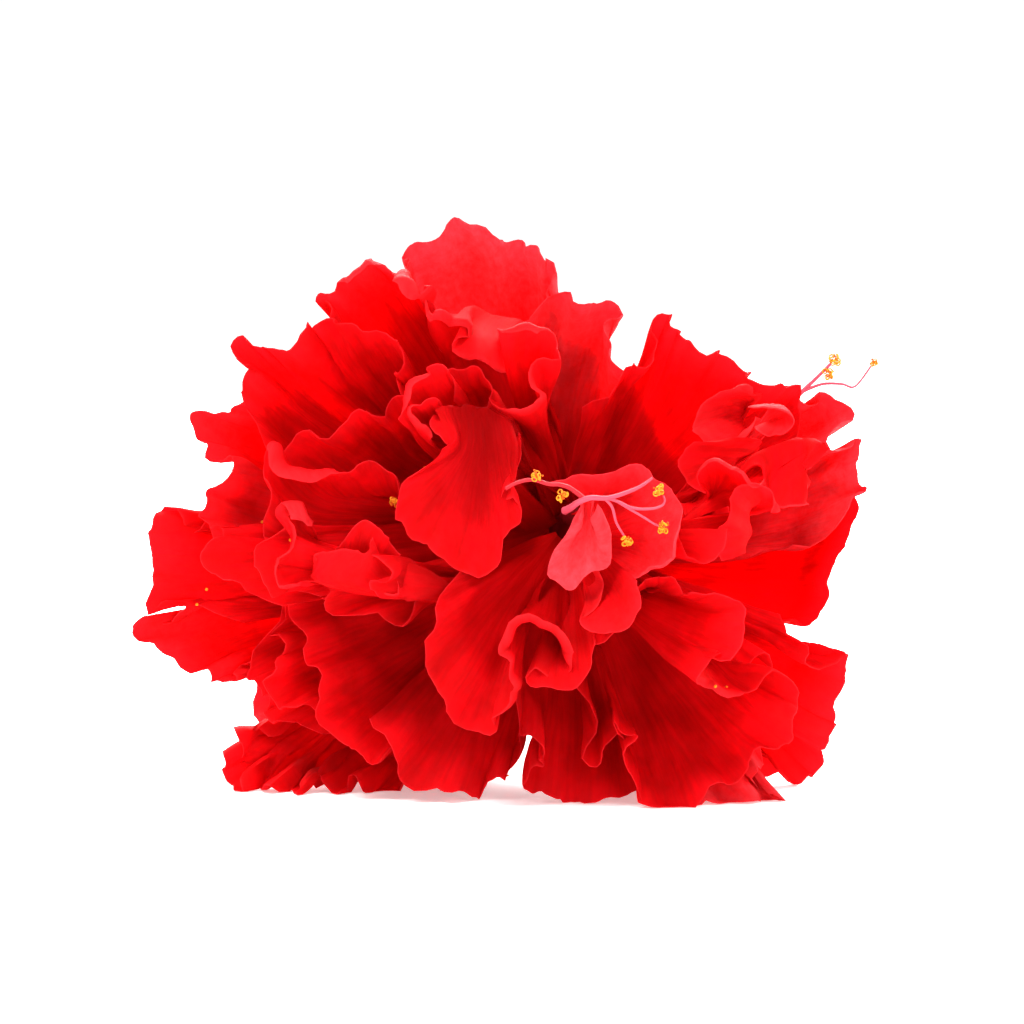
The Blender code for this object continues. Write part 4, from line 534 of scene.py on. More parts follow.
        (16.5, 4, 40.5), (16.6, 2, 38.5), (15.9, 1, 36.4), (14.1, 0, 34.3), (13.2, -0.5, 33.2),
        (14.1, -1, 31.9), (17.6, -1, 31.3), (19.8, -1, 31.7), (21.8, -0.5, 33.6),
        (23.2, 0, 36.2), (22.8, 2, 39.5)]),
    dict(name="lower_left_centre", claw=45, cut=1.5, deep_and_shaded=(0.3, 1.2, 0.5),
         hump=(-1, 7, 0), wave=(0.2, 3), rim=[
        (-6, 6, 40), (-9.2, 2, 36.5), (-10.2, 0.5, 34.3), (-11.6, 0, 29.7), (-12, -2, 26.8),
        (-11, -3, 22.5), (-9.3, -4, 20.4), (-9, -4, 17.2), (-7.8, -5, 15.3), (-5.2, -5, 13.7),
        (-2.8, -6, 12.7), (-0.2, -6.5, 12.7), (-0.7, -7.5, 15.3), (1.8, -9, 16.7),
        (2.4, -9.5, 19), (3, -10, 20.7), (2.5, -11, 22.3), (1.2, -12, 24.2), (0, -12.5, 25.6),
        (0.2, -13, 26.7), (1.8, -13, 27.9), (3.9, -13, 29), (6, -12.5, 28.2),
        (9.2, -12, 27.3), (11.6, -11, 26.2), (12.4, -10, 24.4), (12.2, -8.5, 22.6),
        (10.7, -7.5, 21.1), (8.3, -7, 22), (6.5, -6.5, 23.6), (5.1, -6, 23.4),
        (4.3, -5.5, 22.3), (6, -5, 20.8), (9.2, -4.5, 20.2), (11.6, -4, 20.2),
        (13.8, -3, 21.8), (15, -2, 24.6), (15.3, -1, 26.8), (15.2, 0, 29)],
        curls=[(12.5, 16, 1.6, 1.2, 90), (17, 25, 1.8, 1.0, 110)]),
    dict(name="pale_lobe", claw=34, ruffle=0.4, cut=1.0, deep_and_shaded=(-1.0, 0.5, 1.0), rim=[
        (13.6, -0.4, 51.1), (12.6, -1.4, 48.9), (11.3, -2.4, 46.5), (9.4, -3.2, 43.9),
        (8.5, -3.8, 41.5), (8.4, -4.2, 39.6), (9.8, -4.5, 38.7), (11, -4.6, 37.7),
        (12.1, -4.6, 37.6), (13, -4.5, 38.4), (14, -4.3, 39.6), (15.2, -4, 40.6),
        (16.4, -3.7, 40.7), (17.6, -3.3, 41.5), (18, -2.8, 43.7), (17.8, -2.1, 46.1),
        (17, -1.3, 48.7), (15.8, -0.5, 50.9)],
        through=[[(13.4, 2.4, 51.9), (14, 2.4, 52), (14.8, 2.4, 52), (15.4, 2.4, 51.9)],
                 [(13.6, -0.5, 50.3), (12.9, -1.3, 48.1), (12.2, -2, 45.9), (11.6, -2.6, 43.7),
                  (12.2, -2.9, 42.3), (13.8, -2.9, 42.3), (15.2, -2.6, 43.1), (16, -2.2, 44.5),
                  (16, -1.4, 47.1), (15.4, -0.6, 49.9)]]),
    dict(name="tongue", claw=42, deep_and_shaded=(0.55, 1.0, 0.8), ruffle=0.3, cut=2.0, rim=[
        (-10.5, 3.5, 65.5), (-11.2, 2.5, 64.3), (-10.5, 1.5, 62.7), (-8.2, 0.5, 60.8),
        (-8.2, 0, 59.2), (-10.5, -1, 57.2), (-14, -2.5, 55.7), (-16.3, -3.5, 52.8),
        (-16.8, -4.5, 48.8), (-15.2, -5, 46), (-12.8, -5.5, 43.7), (-11.2, -6, 42.5),
        (-8.2, -6.5, 40.8), (-6, -7, 38.8), (-1.8, -7, 39), (0.3, -6.5, 42), (1, -6.5, 44.8),
        (2.7, -6, 47.7), (3, -5.5, 49.3), (2.2, -5, 51.2), (0.2, -4.5, 52), (2, -3, 54.3),
        (2.7, -2, 55.7), (3.3, -1, 58.8), (3, 1.5, 61.6)],
        through=[[(-5, 10, 62.5), (-8.8, 5, 65.4), (-8, 3.5, 66.2), (-6.8, 3, 66.6),
                  (-5.6, 3, 66.8), (-4.4, 3, 66.7), (-3.2, 3, 66.5), (-2, 3, 66.2),
                  (-0.8, 3, 65.7), (0.3, 3, 65), (1.2, 3.2, 64.3), (2, 3.8, 63.6),
                  (2.6, 7, 62)],
                 [(-8.5, 6, 64.5), (-10, 2.5, 64.8), (-7.8, 0.8, 62.5), (-6.9, -0.2, 60.5),
                  (-6.2, -0.6, 59.7), (-5.3, -0.9, 59.3), (-4.1, -1, 59.1), (-2.4, -1, 59),
                  (-0.7, -1, 59), (0.8, -1, 59), (1.9, -0.8, 59.3), (2.7, -0.3, 60.3),
                  (3, 3, 62)]]),
]


# Sprays of stamens: filaments as (points, first radius, last radius), and anthers as (middle, size)
STAMENS = [
    ("stamens", [
        ([(10.8, 1, 48.9), (11.6, -2, 49.3), (13, -5, 50.3), (15, -6, 51), (18, -6, 51),
          (21.7, -6, 52.2), (23.7, -6, 53.2), (25.2, -6, 54.3)], 0.7, 0.2),
        ([(17.4, -6, 51), (19.2, -6, 50.5), (22, -6, 49.3), (25, -6, 49.2), (26.7, -6, 49.7),
          (27.2, -6, 50.5), (27, -6, 51.4)], 0.3, 0.15),
        ([(19.6, -6, 50.3), (21.2, -6, 49.3), (23.7, -6, 47.8), (25.3, -6, 46.8),
          (26.4, -6, 46.3)], 0.26, 0.15),
        ([(17.2, -6, 51), (18.5, -6, 49.5), (19.2, -6, 47), (20.2, -6, 45.2),
          (20.6, -6, 44.6)], 0.28, 0.15),
        ([(14, -5, 50.8), (12.5, -5.4, 52), (11.2, -5.4, 52.8), (9.7, -5.4, 53.2),
          (8, -5, 53.3), (5.3, -4.6, 54), (2.8, -4.4, 53.5), (0.9, -4.2, 52.5)], 0.42, 0.3)],
     [((26.3, -6, 52.3), ANTHER), ((27, -6, 46.2), ANTHER), ((20.9, -6, 43.9), ANTHER),
      ((6.2, -5, 54.7), ANTHER), ((10.3, -5.6, 51.3), ANTHER)]),
    ("stamens_right", [
        ([(50.2, 20, 68.3), (51.7, 20, 69.8), (53.3, 20, 71.3), (55.6, 20, 73.6)], 0.4, 0.25),
        ([(51, 20, 69), (54.2, 20, 70.2), (57.5, 20, 70.2), (59.7, 20, 69.8),
          (62.4, 20, 73.2)], 0.3, 0.14)],
     [((56.2, 20, 74.3), ANTHER), ((55.2, 20, 71.8), ANTHER), ((62.9, 20, 73.8), 0.7)]),
    ("stamens_left", [
        ([(-9, 8.5, 51.6), (-13, 8, 51.4), (-17, 7.5, 50.4)], 0.3, 0.25)],
     [((-17.6, 7.5, 50.2), ANTHER)]),
]


def lean(point):
    """A point of the bloom's own frame, leaned back on the surface."""
    return Matrix.Rotation(-LEAN, 3, "X") @ Vector(point)


BACK = lean(COLUMN_BACK)
TIP = lean(COLUMN_TIP)
AXIS = (TIP - BACK).normalized()


def column_radius(place):
    """The column's radius at a share of the way from its back end to its tip."""
    return COLUMN_BACK_RADIUS + (COLUMN_TIP_RADIUS - COLUMN_BACK_RADIUS) * place


def middle(points):
    """The mean of some points."""
    return sum(points, Vector()) / len(points)


def squared(way, axis):
    """The direction square to an axis that is nearest to the given one."""
    return (way - axis * way.dot(axis)).normalized()


def smooth_curve(points, count):
    """Count + 1 points, even in parameter, on the smooth curve through the given points."""
    spans = len(points) - 1
    curve = []
    for step in range(count + 1):
        place = step / count * spans
        span = min(int(place), spans - 1)
        t = place - span
        before = points[max(span - 1, 0)]
        start = points[span]
        end = points[span + 1]
        after = points[min(span + 2, spans)]
        curve.append(0.5 * (2 * start + (end - before) * t
                            + (2 * before - 5 * start + 4 * end - after) * t ** 2
                            + (3 * start - before - 3 * end + after) * t ** 3))
    return curve


def softened(points):
    """The same curve without its lobes and notches."""
    soft = list(points)
    for turn in range(SOFT_TURNS):
        soft = ([soft[0]]
                + [(before + 2 * point + after) / 4
                   for before, point, after in zip(soft, soft[1:], soft[2:])]
                + [soft[-1]])
    return soft


def is_small(petal):
    """Is the petal narrow at its claw, so that fewer points will do?"""
    return petal["claw"] <= SMALL_CLAW


def rim_steps(petal):
    """Steps along a rim that land on each of its points."""
    spans = len(petal["rim"]) - 1
    wanted = SMALL_RIM_STEPS if is_small(petal) else RIM_STEPS
    return spans * max(1, round(wanted / spans))


def claw_arc(petal, place, aim, turn, count):
    """The claw's edge: an arc close round the column, on the side that the petal goes to."""
    centre = BACK.lerp(TIP, place)
    radius = column_radius(place) + (BLADE / 2 + CLAW_GAPS * GAP)
    outward = squared(aim - centre, AXIS)
    sideways = AXIS.cross(outward)
    arc = []
    for step in range(count + 1):
        angle = math.radians(petal["claw"]) * (2 * step / count - 1) * turn
        arc.append(centre + radius * (math.cos(angle) * outward + math.sin(angle) * sideways))
    return arc


def sweep(points, centre):
    """+1 or -1: which way round the column the points run."""
    total = 0.0
    for first, second in zip(points, points[1:]):
        total += (first - centre).cross(second - centre).dot(TIP - BACK)
    return 1 if total > 0 else -1


def claw_span(petal):
    """Where a petal's claw stands round the column and half the room it takes, in degrees."""
    upward = squared(Vector((0, 0, 1)), AXIS)
    across = AXIS.cross(upward)
    first_line = petal.get("through", [petal.get("via", petal["rim"])])[0]
    aim = middle([lean(point) for point in first_line]) - BACK.lerp(TIP, 0.5)
    angle = math.degrees(math.atan2(aim.dot(across), aim.dot(upward)))
    return angle, petal["claw"] + CLAW_ROOM / 2


def claw_levels():
    """For each petal, how many claws stand behind its own at the same side of the column."""
    spans = [claw_span(petal) for petal in PETALS]
    levels = []
    for order, (angle, half) in enumerate(spans):
        level = 0
        for earlier in range(order):
            other_angle, other_half = spans[earlier]
            apart = abs((angle - other_angle + 180) % 360 - 180)
            if apart < half + other_half:
                level = max(level, levels[earlier] + 1)
        levels.append(level)
    return levels


def petal_net(petal, place, draw):
    """The petal's middle surface, as rows of points from the claw to the rim."""
    rim_points = [lean(point) for point in petal["rim"]]
    count = rim_steps(petal)
    rim = smooth_curve(rim_points, count)
    soft_rim = softened(rim)
    via_points = [lean(point) for point in petal.get("via", [])]
    aim = middle(via_points or rim_points)
    centre = BACK.lerp(TIP, place)
    turn = sweep(via_points or rim_points, centre)
    claw = claw_arc(petal, place, aim, turn, count)
    if via_points:
        via = smooth_curve(via_points, count)
    else:
        hump = lean(petal["hump"])
        via = []
        for start, end in zip(claw, soft_rim):
            leaving = (math.cos(LEAVING) * squared(end - centre, AXIS)
                       + math.sin(LEAVING) * AXIS)
            via.append(start + leaving * (end - start).length * 0.5 + hump)
    height, waves = petal["wave"]
    phase = draw.uniform(0, 2 * math.pi)
    rows = []
    steps = SMALL_LENGTH_STEPS if is_small(petal) else LENGTH_STEPS
    for row in range(steps + 1):
        t = row / steps
        line = []
        for step in range(count + 1):
            point = ((1 - t) ** 2 * claw[step] + 2 * t * (1 - t) * via[step]
                     + t ** 2 * soft_rim[step]
                     + t ** LOBE_FADE * (rim[step] - soft_rim[step]))
            ripple = height * math.sin(2 * math.pi * waves * step / count + phase) * t ** 2
            line.append(point + Vector((0, ripple, 0)))
        rows.append(line)
    return rows


def blade_faces(rows_count, columns_count):
    """Triangles of one face of a blade, as indices into its rows of points."""
    faces = []
    for row in range(rows_count - 1):
        for column in range(columns_count - 1):
            a = row * columns_count + column
            b = a + 1
            c = a + columns_count
            d = c + 1
            if (row + column) % 2:
                faces += [(a, b, d), (a, d, c)]
            else:
                faces += [(a, b, c), (b, d, c)]
    return faces


def blade_solid(rows, half):
    """Both faces of a blade of the given half thickness, for testing what it touches."""
    points = [point for line in rows for point in line]
    columns = len(rows[0])
    faces = blade_faces(len(rows), columns)
    normals = [Vector() for point in points]
    for a, b, c in faces:
        normal = (points[b] - points[a]).cross(points[c] - points[a])
        for corner in (a, b, c):
            normals[corner] += normal
    offsets = [half * normal.normalized() for normal in normals]
    upper = [point + offset for point, offset in zip(points, offsets)]
    lower = [point - offset for point, offset in zip(points, offsets)]
    count = len(points)
    border = [row * columns for row in range(len(rows))]
    border += [(len(rows) - 1) * columns + column for column in range(1, columns)]
    border += [row * columns + columns - 1 for row in reversed(range(len(rows) - 1))]
    border += [column for column in reversed(range(1, columns - 1))]
    solid = faces + [(a + count, c + count, b + count) for a, b, c in faces]
    for first, second in zip(border, border[1:] + border[:1]):
        solid += [(first, second, second + count), (first, second + count, first + count)]
    return upper + lower, solid


def on_surface(point):
    """Lays a blade's low places on the plane that the bloom lies on, pressed in a little."""
    low = point.z < BLADE / 2 + LIE_FLAT
    return Vector((point.x, point.y, BLADE / 2 - PRESS if low else point.z))


def neighbours(row, column, height, width):
    """The places next to one of a net's places, up, down, left and right."""
    near = ((row - 1, column), (row + 1, column), (row, column - 1), (row, column + 1))
    return [(r, c) for r, c in near if 0 <= r < height and 0 <= c < width]


def spread(lift, rows):
    """Lets a raised place draw up its neighbours, so that the blade bends and doesn't kink."""
    height = len(rows)
    width = len(rows[0])
    for turn in range(SPREAD_TURNS):
        for row in range(height):
            for column in range(width):
                best = lift[row][column]
                for other_row, other_column in neighbours(row, column, height, width):
                    length = (rows[row][column] - rows[other_row][other_column]).length
                    best = max(best, lift[other_row][other_column] - BEND_SLOPE * length)
                lift[row][column] = best


def bend_clear(rows, placed):
    """Bends a petal forward where it would touch those already placed behind it."""
    columns = len(rows[0])
    lift = [[0.0] * columns for line in rows]
    forward = Vector((0, -1, 0))
    bent = [[on_surface(point) for point in line] for line in rows]
    for attempt in range(BEND_TRIES):
        points, faces = blade_solid(bent, BLADE / 2 + GAP)
        tree = BVHTree.FromPolygons(points, faces)
        hits = set()
        for mine, theirs in tree.overlap(placed):
            hits.update(index % (len(rows) * columns) for index in faces[mine])
        if not hits:
            return bent
        for index in hits:
            lift[index // columns][index % columns] += BEND_STEP
        spread(lift, rows)
        bent = [[on_surface(point + rise * forward) for point, rise in zip(line, rises)]
                for line, rises in zip(rows, lift)]
    return bent


def joined_tree(solids):
    """One tree of all the solids placed so far."""
    points = []
    faces = []
    for solid_points, solid_faces in solids:
        start = len(points)
        points += solid_points
        faces += [tuple(index + start for index in face) for face in solid_faces]
    return BVHTree.FromPolygons(points, faces)


def ring_round(centre, axis, radii):
    """Points round an axis, one for each of the given radii."""
    upward = squared(Vector((0, 0, 1)), axis)
    across = axis.cross(upward)
    ring = []
    for index, radius in enumerate(radii):
        angle = 2 * math.pi * index / len(radii)
        ring.append(centre + radius * (math.cos(angle) * upward + math.sin(angle) * across))
    return ring


def tube_rings(path, radii, sides):
    """Rings along a path of points, each square to the path there."""
    rings = []
    for index, (point, radius) in enumerate(zip(path, radii)):
        before = path[max(index - 1, 0)]
        after = path[min(index + 1, len(path) - 1)]
        rings.append(ring_round(point, (after - before).normalized(), [radius] * sides))
    return rings


def tube_solid(rings):
    """Points and triangles of a closed tube, for testing what it touches."""
    sides = len(rings[0])
    points = [point for ring in rings for point in ring]
    faces = []
    for ring in range(len(rings) - 1):
        for side in range(sides):
            a = ring * sides + side
            b = ring * sides + (side + 1) % sides
            faces += [(a, b, b + sides), (a, b + sides, a + sides)]
    return points, faces


def column_rings(steps, sides):
    """Rings of the column from its back end to its tip."""
    places = [step / steps for step in range(steps + 1)]
    return tube_rings([BACK.lerp(TIP, place) for place in places],
                      [column_radius(place) for place in places], sides)


def place_of_bloom():
    """How far the part moved the bloom from its own frame, read from its column."""
    low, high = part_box("column")
    points = [point for ring in column_rings(COLUMN_STEPS, COLUMN_SIDES) for point in ring]
    own = Vector([(min(p[axis] for p in points) + max(p[axis] for p in points)) / 2
                  for axis in range(3)])
    return (Vector(low) + Vector(high)) / 2 / MM - own


def drawn_forward(point, reach):
    """A point of a spray, drawn forward and leaned back with the bloom."""
    across, back, up = point
    return lean((across, back - reach, up))


def filament_tube(path, first, last):
    """One tapered filament with a gap all round it, for testing what it touches."""
    count = max(LEAST_FILAMENT_STEPS, FILAMENT_STEPS * (len(path) - 1))
    radii = [first + (last - first) * step / count + GAP for step in range(count + 1)]
    rings = tube_rings(smooth_curve(path, count), radii, FILAMENT_SIDES)
    return BVHTree.FromPolygons(*tube_solid(rings))


def clear_reach(filaments, anthers, placed):
    """How far a spray is drawn forward so that it stands clear of the petals."""
    for attempt in range(REACH_TRIES):
        reach = attempt * BEND_STEP
        touching = False
        for points, first, last in filaments:
            path = [drawn_forward(point, reach) for point in points]
            touching = touching or bool(filament_tube(path, first, last).overlap(placed))
        for point, size in anthers:
            place, normal, index, distance = placed.find_nearest(drawn_forward(point, reach))
            touching = touching or distance < size + GAP
        if not touching:
            break
    return reach


SHIFT = place_of_bloom()


def laid_through(petal, place):
    """A blade that runs from its claw through the petal's own lines to its rim."""
    lines = [[lean(point) for point in line] for line in petal["through"] + [petal["rim"]]]
    count = rim_steps(petal)
    turn = sweep(lines[-1], BACK.lerp(TIP, place))
    curves = [claw_arc(petal, place, middle(lines[0]), turn, count)]
    curves += [smooth_curve(line, count) for line in lines]
    steps = LINE_STEPS * len(lines)
    columns = [smooth_curve([curve[step] for curve in curves], steps)
               for step in range(count + 1)]
    return [[column[row] for column in columns] for row in range(steps + 1)]


def curve_weights(coarse, fine):
    """Weights that turn coarse points into fine ones on the smooth curve through them."""
    weights = np.zeros((fine, coarse))
    spans = coarse - 1
    for step in range(fine):
        place = step / (fine - 1) * spans
        span = min(int(place), spans - 1)
        t = place - span
        weights[step, max(span - 1, 0)] += 0.5 * (-t + 2 * t ** 2 - t ** 3)
        weights[step, span] += 0.5 * (2 - 5 * t ** 2 + 3 * t ** 3)
        weights[step, span + 1] += 0.5 * (t + 4 * t ** 2 - 3 * t ** 3)
        weights[step, min(span + 2, spans)] += 0.5 * (-t ** 2 + t ** 3)
    return weights


def run_lengths(points, axis):
    """Length run along one way of a net of points, from its first line."""
    steps = np.linalg.norm(np.diff(points, axis=axis), axis=2)
    start = np.zeros_like(np.take(steps, [0], axis=axis))
    return np.concatenate([start, np.cumsum(steps, axis=axis)], axis=axis)


def unit(ways):
    """Directions made one long."""
    return ways / np.maximum(np.linalg.norm(ways, axis=-1, keepdims=True), TINY)


def facing(points):
    """Unit normals of a net of points, on its front side."""
    normals = unit(np.cross(np.gradient(points, axis=1), np.gradient(points, axis=0)))
    if normals[:, :, 1].mean() > 0:
        normals = -normals
    return normals


def uneven_wave(run, length, draw):
    """A wave of about this length that doesn't quite repeat."""
    total = 0.0
    for stretch in STRETCHES:
        total = total + np.sin(2 * math.pi * run / (length * stretch)
                               + draw.uniform(0, 2 * math.pi))
    return total / HIGHEST


def with_neighbours(values):
    """A net of values, and the same net moved by one place to each of its four sides."""
    padded = np.pad(values, 1, mode="edge")
    return [padded[1:-1, 1:-1], padded[:-2, 1:-1], padded[2:, 1:-1],
            padded[1:-1, :-2], padded[1:-1, 2:]]


def room_beside(net, normals, others):
    """How far each point could move along its normal before it meets another petal."""
    room = np.full(net.shape[:2], LOOK_AHEAD)
    for line in range(net.shape[0]):
        for column in range(net.shape[1]):
            way = Vector(normals[line, column])
            start = Vector(net[line, column]) + way * LEAST_ROOM
            place, normal, index, distance = others.ray_cast(start, way, LOOK_AHEAD)
            if distance is not None:
                room[line, column] = distance
    for turn in range(NARROW_TURNS):
        room = np.minimum.reduce(with_neighbours(room))
    for turn in range(EVEN_TURNS):
        room = sum(with_neighbours(room)) / 5
    return np.maximum(room * ROOM_SHARE, LEAST_ROOM)


def rim_wave(run, left, kind, draw):
    """A wave that runs along the rim and fades inward from it."""
    height, length, depth = kind
    return height * uneven_wave(run, length, draw) * np.exp(-(left / depth) ** RIM_FADE)


def bulges(run, grown, draw):
    """Broad soft bulges that run in every direction over the blade."""
    height, length, count = BULGE
    total = 0.0
    for wave in range(count):
        way = draw.uniform(0, math.pi)
        pace = 2 * math.pi / (length * draw.uniform(*BULGE_STRETCH))
        total = total + np.sin(pace * (run * math.cos(way) + grown * math.sin(way))
                               + draw.uniform(0, 2 * math.pi))
    return height * total / math.sqrt(count)


def window(place, first, last):
    """1 between two places along the rim, fading to 0 over two rim points at each end."""
    inside = np.clip(np.minimum(place - first, last - place) / 2 + 0.5, 0, 1)
    return inside * inside * (3 - 2 * inside)


def evened(values, turns):
    """Values along the rim, each drawn towards its neighbours."""
    for turn in range(turns):
        values = np.concatenate([values[:1], (values[:-2] + 2 * values[1:-1] + values[2:]) / 4,
                                 values[-1:]])
    return values


def rolled_lip(net, left, petal):
    """The blade drawn in a little and given extra lines beyond its rim, which roll over."""
    place = np.linspace(0, len(petal["rim"]) - 1, net.shape[1])
    length, bend, turn = (np.full(net.shape[1], value) for value in LIP)
    turn = np.radians(turn)
    for first, last, extra, radius, degrees in petal.get("curls", []):
        inside = window(place, first, last)
        length = length + inside * extra
        bend = bend + inside * (radius - bend)
        turn = turn + inside * (math.radians(degrees) - turn)
    front = evened(facing(net)[-2], LIP_EVENING)
    outward = unit(evened(net[-1] - net[-3], LIP_EVENING))
    normal = unit(front - outward * (front * outward).sum(axis=1, keepdims=True))
    reach = bend * np.sin(np.minimum(turn, math.pi / 2)) * np.minimum(length / bend / turn, 1)
    net = net - outward * (reach[:, None] * np.exp(-left / DRAWN_IN)[:, :, None])
    count = max(2, math.ceil(length.max() / LIP_STEP))
    lines = []
    for step in range(1, count + 1):
        gone = length * step / count
        angle = np.minimum(gone / bend, turn)
        straight = gone - bend * angle
        ahead = bend * np.sin(angle) + straight * np.cos(angle)
        raised = bend * (1 - np.cos(angle)) + straight * np.sin(angle)
        lines.append(net[-1] + outward * ahead[:, None] + normal * raised[:, None])
    return net, np.array(lines), length, turn


def close_net(rows):
    """A petal's net with its points close together, and the petal's length."""
    coarse = np.array([[tuple(point) for point in line] for line in rows])
    rim_length = run_lengths(coarse[-1:], 1)[0, -1]
    length = run_lengths(coarse, 0)[-1].mean()
    columns = int(np.clip(rim_length / ACROSS_STEP, *ACROSS_POINTS))
    lines = int(np.clip(length / ALONG_STEP, *ALONG_POINTS))
    down = curve_weights(coarse.shape[0], lines)
    across = curve_weights(coarse.shape[1], columns)
    return np.einsum("ij,jkc,lk->ilc", down, coarse, across), length


def fine_net(rows, petal, draw, others):
    """The petal's smooth surface with its bulges, ruffles and lips, and where each point is."""
    net, length = close_net(rows)
    run = run_lengths(net, 1)[-1][None, :] * np.ones((len(net), 1))
    grown = run_lengths(net, 0)
    left = grown[-1:] - grown
    share = grown / np.maximum(grown[-1:], TINY)
    front = facing(net)
    along = unit(np.gradient(net, axis=0))
    small = min(1.0, length / FULL_LENGTH)
    size = petal.get("ruffle", 1.0) * small
    wave = rim_wave(run, left, RUFFLE, draw) + rim_wave(run, left, FRILL, draw)
    wave = wave + PLEAT[0] * uneven_wave(run, PLEAT[1], draw) * np.sin(math.pi * share) * share
    wave = size * (wave + bulges(run, grown, draw) * np.clip(3 * share, 0, 1))
    ahead = room_beside(net, front, others)
    behind = room_beside(net, -front, others)
    wave = np.where(wave > 0, ahead * np.tanh(wave / ahead), behind * np.tanh(wave / behind))
    wave = wave + rim_wave(run, left, CRINKLE, draw) * np.minimum(ahead, behind).clip(0, 1)
    net = net + front * wave[:, :, None]
    edge = rim_wave(run, left, SCALLOP, draw) + rim_wave(run, left, NICK, draw)
    edge = petal.get("cut", 1.0) * small * edge
    edge = edge + RIM_GROWTH * np.exp(-left / DRAWN_IN)
    net = net + along * edge[:, :, None]
    net, lip, lip_length, turn = rolled_lip(net, left, petal)
    net = np.concatenate([net, lip])
    net[:, :, 2] = np.maximum(net[:, :, 2], LOWEST)
    beyond = np.arange(1, len(lip) + 1)[:, None] / len(lip)
    turned = np.concatenate([np.zeros_like(grown), beyond * turn / math.pi])
    grown = np.concatenate([grown, grown[-1:] + lip_length * beyond])
    run = run[-1:] * np.ones((len(net), 1))
    return net, run, grown, grown[-1:] - grown, turned


def tapered_tube(name, points, radii, material):
    """A smooth tube along points, closed at both ends."""
    start, end = ([point] * FILAMENT_ROUND for point in (points[0], points[-1]))
    rings = tube_rings(points, radii, FILAMENT_ROUND)
    return ring_piece(name, [start] + rings + [end], material)


def ring_piece(name, rings, material):
    """A grid wrapped round rings of points, with its seam and its ends closed."""
    net = np.array([[tuple(point) for point in ring + ring[:1]] for ring in rings])
    piece, line, column = sheet_piece(name, net, material)
    bpy.ops.object.mode_set(mode="EDIT")
    bpy.ops.mesh.select_all(action="SELECT")
    bpy.ops.mesh.remove_doubles(threshold=WELD)
    bpy.ops.mesh.select_all(action="DESELECT")
    bpy.ops.mesh.select_non_manifold()
    bpy.ops.mesh.edge_face_add()
    bpy.ops.mesh.select_all(action="SELECT")
    bpy.ops.mesh.normals_make_consistent(inside=False)
    bpy.ops.object.mode_set(mode="OBJECT")
    return piece


def joined(pieces, name):
    """Several pieces as one, under a name."""
    bpy.ops.object.select_all(action="DESELECT")
    for piece in pieces:
        piece.select_set(True)
    bpy.context.view_layer.objects.active = pieces[0]
    bpy.ops.object.join()
    whole = bpy.context.object
    whole.name = name
    whole.data.name = name
    return whole


def sheet_piece(name, net, material):
    """A grid laid over a net of points."""
    lines, columns = net.shape[:2]
    bpy.ops.mesh.primitive_grid_add(x_subdivisions=columns - 1, y_subdivisions=lines - 1, size=1)
    piece = bpy.context.object
    piece.name = name
    piece.data.name = name
    places = np.zeros(len(piece.data.vertices) * 3)
    piece.data.vertices.foreach_get("co", places)
    places = places.reshape(-1, 3)
    column = np.rint((places[:, 0] + 0.5) * (columns - 1)).astype(int)
    line = np.rint((places[:, 1] + 0.5) * (lines - 1)).astype(int)
    shift = np.array(SHIFT)
    piece.data.vertices.foreach_set("co", ((net[line, column] + shift) * MM).ravel())
    piece.data.materials.append(material)
    bpy.ops.object.shade_smooth()
    return piece, line, column


def finish_piece(piece, *nodes, slot):
    """Hangs a piece on the bloom's one body, in place of the part's nodes that it stands for."""
    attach(piece, "root")
    if nodes:
        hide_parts(*nodes)


def make_petal(petal, rows, others, draw, material):
    """One fine petal, with the numbers that its skin's colours go by."""
    net, run, grown, left, turned = fine_net(rows, petal, draw, others)
    share = grown / np.maximum(grown[-1:], TINY)
    # Painted light, partly the petal's own paler red: paler towards the rim, and a painted
    # highlight on rolled lips
    pale_and_lit = PALE_AND_LIT.get(petal["name"], RIM_PALE_AND_LIT) * share ** 2 + LIP_HIGHLIGHT * turned
    # Painted shade, partly the petal's own darker red: deeper red towards the claw and round the
    # throat
    first, last, most = petal.get("deep_and_shaded", DEEP_AND_SHADED)
    deep_and_shaded = most * (1 - np.clip((share - first) / (last - first), 0, 1))
    deep_and_shaded = np.maximum(deep_and_shaded, 1 - share / THROAT)
    piece, line, column = sheet_piece(petal["name"] + "_petal", net, material)
    for name, values in zip(SKIN_NUMBERS, (run, grown, left, deep_and_shaded, pale_and_lit)):
        numbers = piece.data.attributes.new(name, "FLOAT", "POINT")
        numbers.data.foreach_set("value", values[line, column].astype(np.float32))
    full = piece.vertex_groups.new(name="full thickness")
    for index, near in enumerate(left[line, column]):
        full.add([index], min(near / THINNING_DEPTH, 1.0), "REPLACE")
    wall = piece.modifiers.new("Thickness", "SOLIDIFY")
    wall.thickness = PETAL_THICKNESS * MM
    wall.offset = 0.0
    wall.vertex_group = "full thickness"
    wall.thickness_vertex_group = RIM_THINNING
    bpy.ops.object.modifier_apply(modifier="Thickness")
    piece.vertex_groups.clear()
    bpy.ops.object.shade_smooth_by_angle(angle=CREASE)
    nodes = [petal["name"]] if petal["name"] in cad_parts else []
    finish_piece(piece, *nodes, slot="red_petal")
    return piece


def make_filaments(name, filaments, reach, pink, red):
    """The filaments of one spray, rooted in each other where they branch."""
    tubes = []
    for order, (points, first, last) in enumerate(filaments):
        count = FINE_FILAMENT_STEPS * (len(points) - 1)
        path = smooth_curve([drawn_forward(point, reach) for point in points], count)
        radii = [first + (last - first) * (step / count) ** FILAMENT_TAPER
                 for step in range(count + 1)]
        finish = red if (name, order) == RED_STRAND else pink
        tubes.append(tapered_tube("filament", path, radii, finish))
    return joined(tubes, name + "_filaments")


